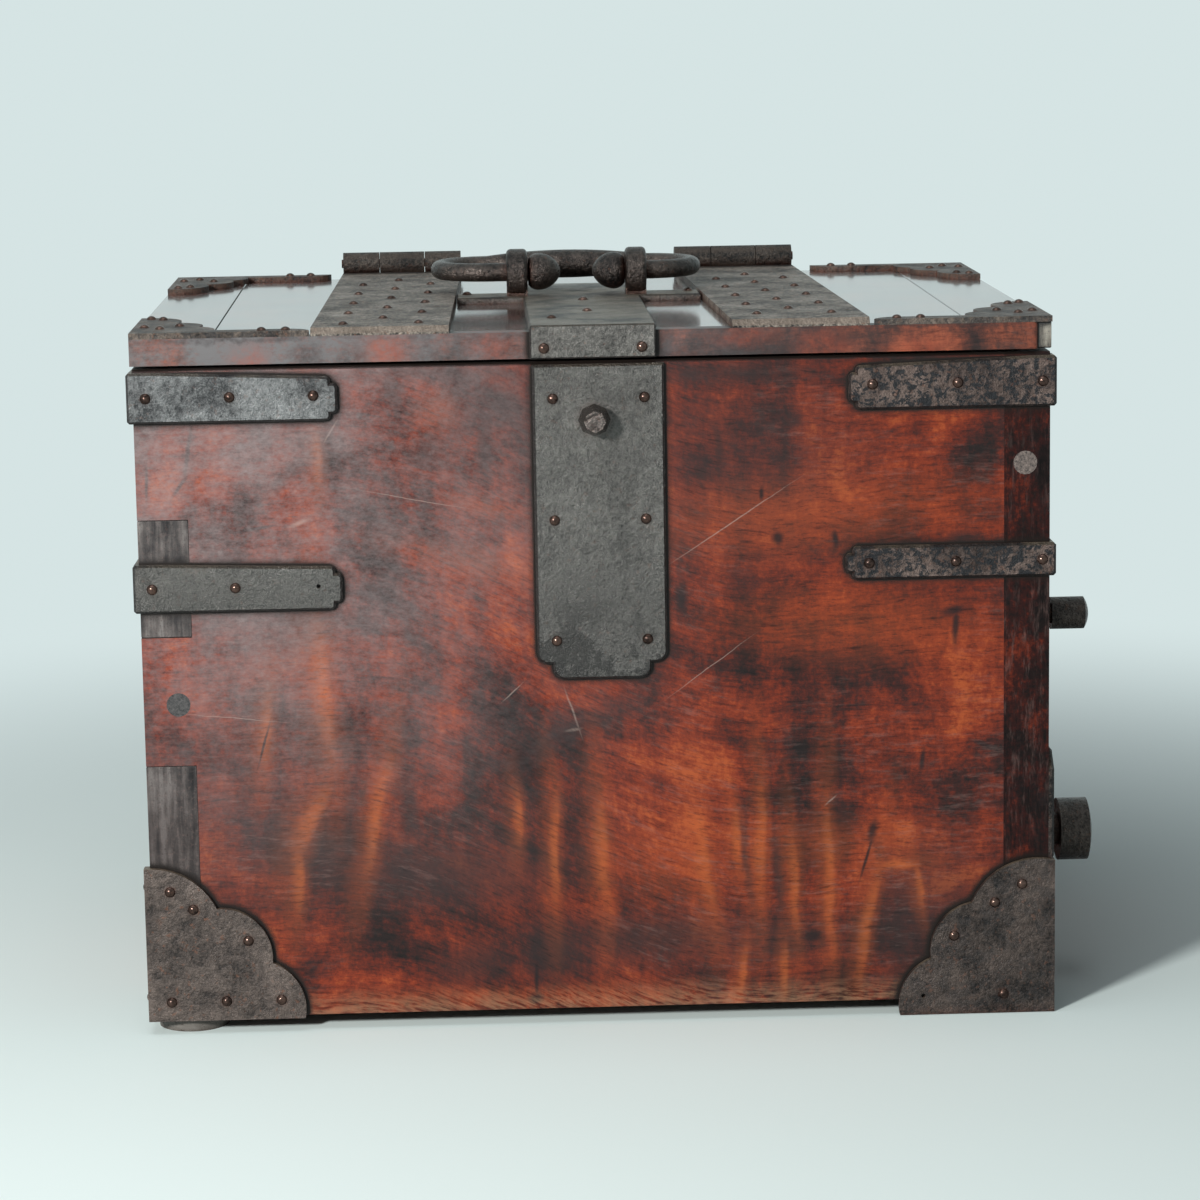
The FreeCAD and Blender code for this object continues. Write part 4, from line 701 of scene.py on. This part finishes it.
# ---------------------------------------------------------------- softened edges
# Boards whose edges are rounded. The drawer fronts and the lid's panel aren't, because they would crease
# between their two bores.
SOFT_BOARDS = ("front_board", "back_board", "left_end_board", "front_stile", "rear_stile", "till_end_board",
               "lid_front_rail", "lid_batten_left", "lid_batten_right")
WELD_REACH = 0.002 * MM


def soften(item, width, angle=35.0, segments=2):
    """Round a piece's edges a little: its mesh stays, and a modifier shows it worn."""
    weld = item.modifiers.new("weld", "WELD")
    weld.merge_threshold = WELD_REACH
    bevel = item.modifiers.new("worn_edges", "BEVEL")
    bevel.width = width
    bevel.segments = segments
    bevel.limit_method = "ANGLE"
    bevel.angle_limit = math.radians(angle)
    bevel.use_clamp_overlap = True
    level = item.modifiers.new("level_faces", "WEIGHTED_NORMAL")
    level.weight = 100
    level.keep_sharp = True
    item.data.shade_smooth()


for board in SOFT_BOARDS:
    soften(nodes[board], 0.7 * MM)
soften(nodes["latch_knob"], 1.8 * MM, angle=20.0, segments=4)

# ---------------------------------------------------------------- floor and backdrop
FLOOR_SIZE = 300
FLOOR_ALBEDO = (0.74, 0.845, 0.835, 1.0)
BACKDROP_COLOUR = (0.67, 0.775, 0.775, 1.0)
# The floor turns into the backdrop's colour between these two distances from its middle.
FLOOR_NEAR, FLOOR_FAR = 0.35, 1.1
SKY_COLOUR = (0.86, 0.93, 0.96, 1.0)
SKY_STRENGTH = 0.15


def make_floor():
    """A plain pale floor, which catches shadows near the chest."""
    bpy.ops.mesh.primitive_plane_add(size=FLOOR_SIZE, location=(0, 0, 0))
    floor = bpy.context.object
    floor.name = "floor"
    graph = Graph("floor")
    graph.finish(FLOOR_ALBEDO, 0.85, Specular_IOR_Level=0.2)
    glow = graph.node("Emission")
    graph.feed(glow.inputs["Color"], BACKDROP_COLOUR)
    distance = graph.node("VectorMath", operation="LENGTH")
    graph.feed(distance.inputs[0], graph.place)
    far = graph.rise(distance.outputs["Value"], FLOOR_NEAR, FLOOR_FAR)
    seen_far = graph.times(graph.seen_directly(), far)
    surface = graph.mix_shaders(seen_far, graph.surface.outputs["BSDF"], glow.outputs[0])
    graph.feed(graph.output.inputs["Surface"], surface)
    floor.data.materials.append(graph.material)


def make_world():
    """Soft pale light from all round, which looks like the plain backdrop."""
    world = bpy.data.worlds.new("studio")
    bpy.context.scene.world = world
    shader = Shader(world)
    sky = shader.node("Background")
    shader.fill(sky, {"Color": SKY_COLOUR, "Strength": SKY_STRENGTH})
    backdrop = shader.node("Background")
    shader.fill(backdrop, {"Color": BACKDROP_COLOUR, "Strength": 1.0})
    output = shader.node("OutputWorld")
    shown = shader.mix_shaders(shader.seen_directly(), sky.outputs[0], backdrop.outputs[0])
    shader.feed(output.inputs["Surface"], shown)


make_floor()
make_world()

# ---------------------------------------------------------------- lamps
LAMP_TARGET = Vector((0, 0, 0.2))


def lamp(name, place, size, power, colour):
    """A round lamp that points at the chest's middle."""
    light = bpy.data.lights.new(name, "AREA")
    light.shape = "DISK"
    light.size = size
    light.energy = power
    light.color = colour
    item = bpy.data.objects.new(name, light)
    item.location = place
    aim = LAMP_TARGET - Vector(place)
    item.rotation_euler = aim.to_track_quat("-Z", "Y").to_euler()
    bpy.context.scene.collection.objects.link(item)


lamp("key", (-1.15, -1.85, 0.95), size=0.30, power=60, colour=(1.0, 0.99, 0.96))
lamp("overhead", (-0.3, -0.4, 2.4), size=1.6, power=13, colour=(0.96, 0.98, 1.0))

# ---------------------------------------------------------------- camera
CAMERA_PLACE = Vector((-0.0649, -2.0293, 0.5360))
CAMERA_YAW = math.radians(2.051)
CAMERA_PITCH = math.radians(9.637)
CAMERA_ROLL = math.radians(-0.939)
CAMERA_LENS = 111.84
CAMERA_SENSOR = 36.0


def camera_turn():
    """The camera's right, up and backward directions as a matrix."""
    ahead = Vector((math.sin(CAMERA_YAW), math.cos(CAMERA_YAW), 0))
    level = Vector((math.cos(CAMERA_YAW), -math.sin(CAMERA_YAW), 0))
    sky_up = Vector((0, 0, 1))
    look = ahead * math.cos(CAMERA_PITCH) - sky_up * math.sin(CAMERA_PITCH)
    lifted = sky_up * math.cos(CAMERA_PITCH) + ahead * math.sin(CAMERA_PITCH)
    right = level * math.cos(CAMERA_ROLL) + lifted * math.sin(CAMERA_ROLL)
    up = lifted * math.cos(CAMERA_ROLL) - level * math.sin(CAMERA_ROLL)
    return Matrix((right, up, -look)).transposed()


camera_data = bpy.data.cameras.new("camera")
camera_data.lens = CAMERA_LENS
camera_data.sensor_width = CAMERA_SENSOR
camera = bpy.data.objects.new("camera", camera_data)
camera.matrix_world = Matrix.Translation(CAMERA_PLACE) @ camera_turn().to_4x4()
bpy.context.scene.collection.objects.link(camera)
bpy.context.scene.camera = camera

bpy.context.scene.view_settings.view_transform = "Standard"
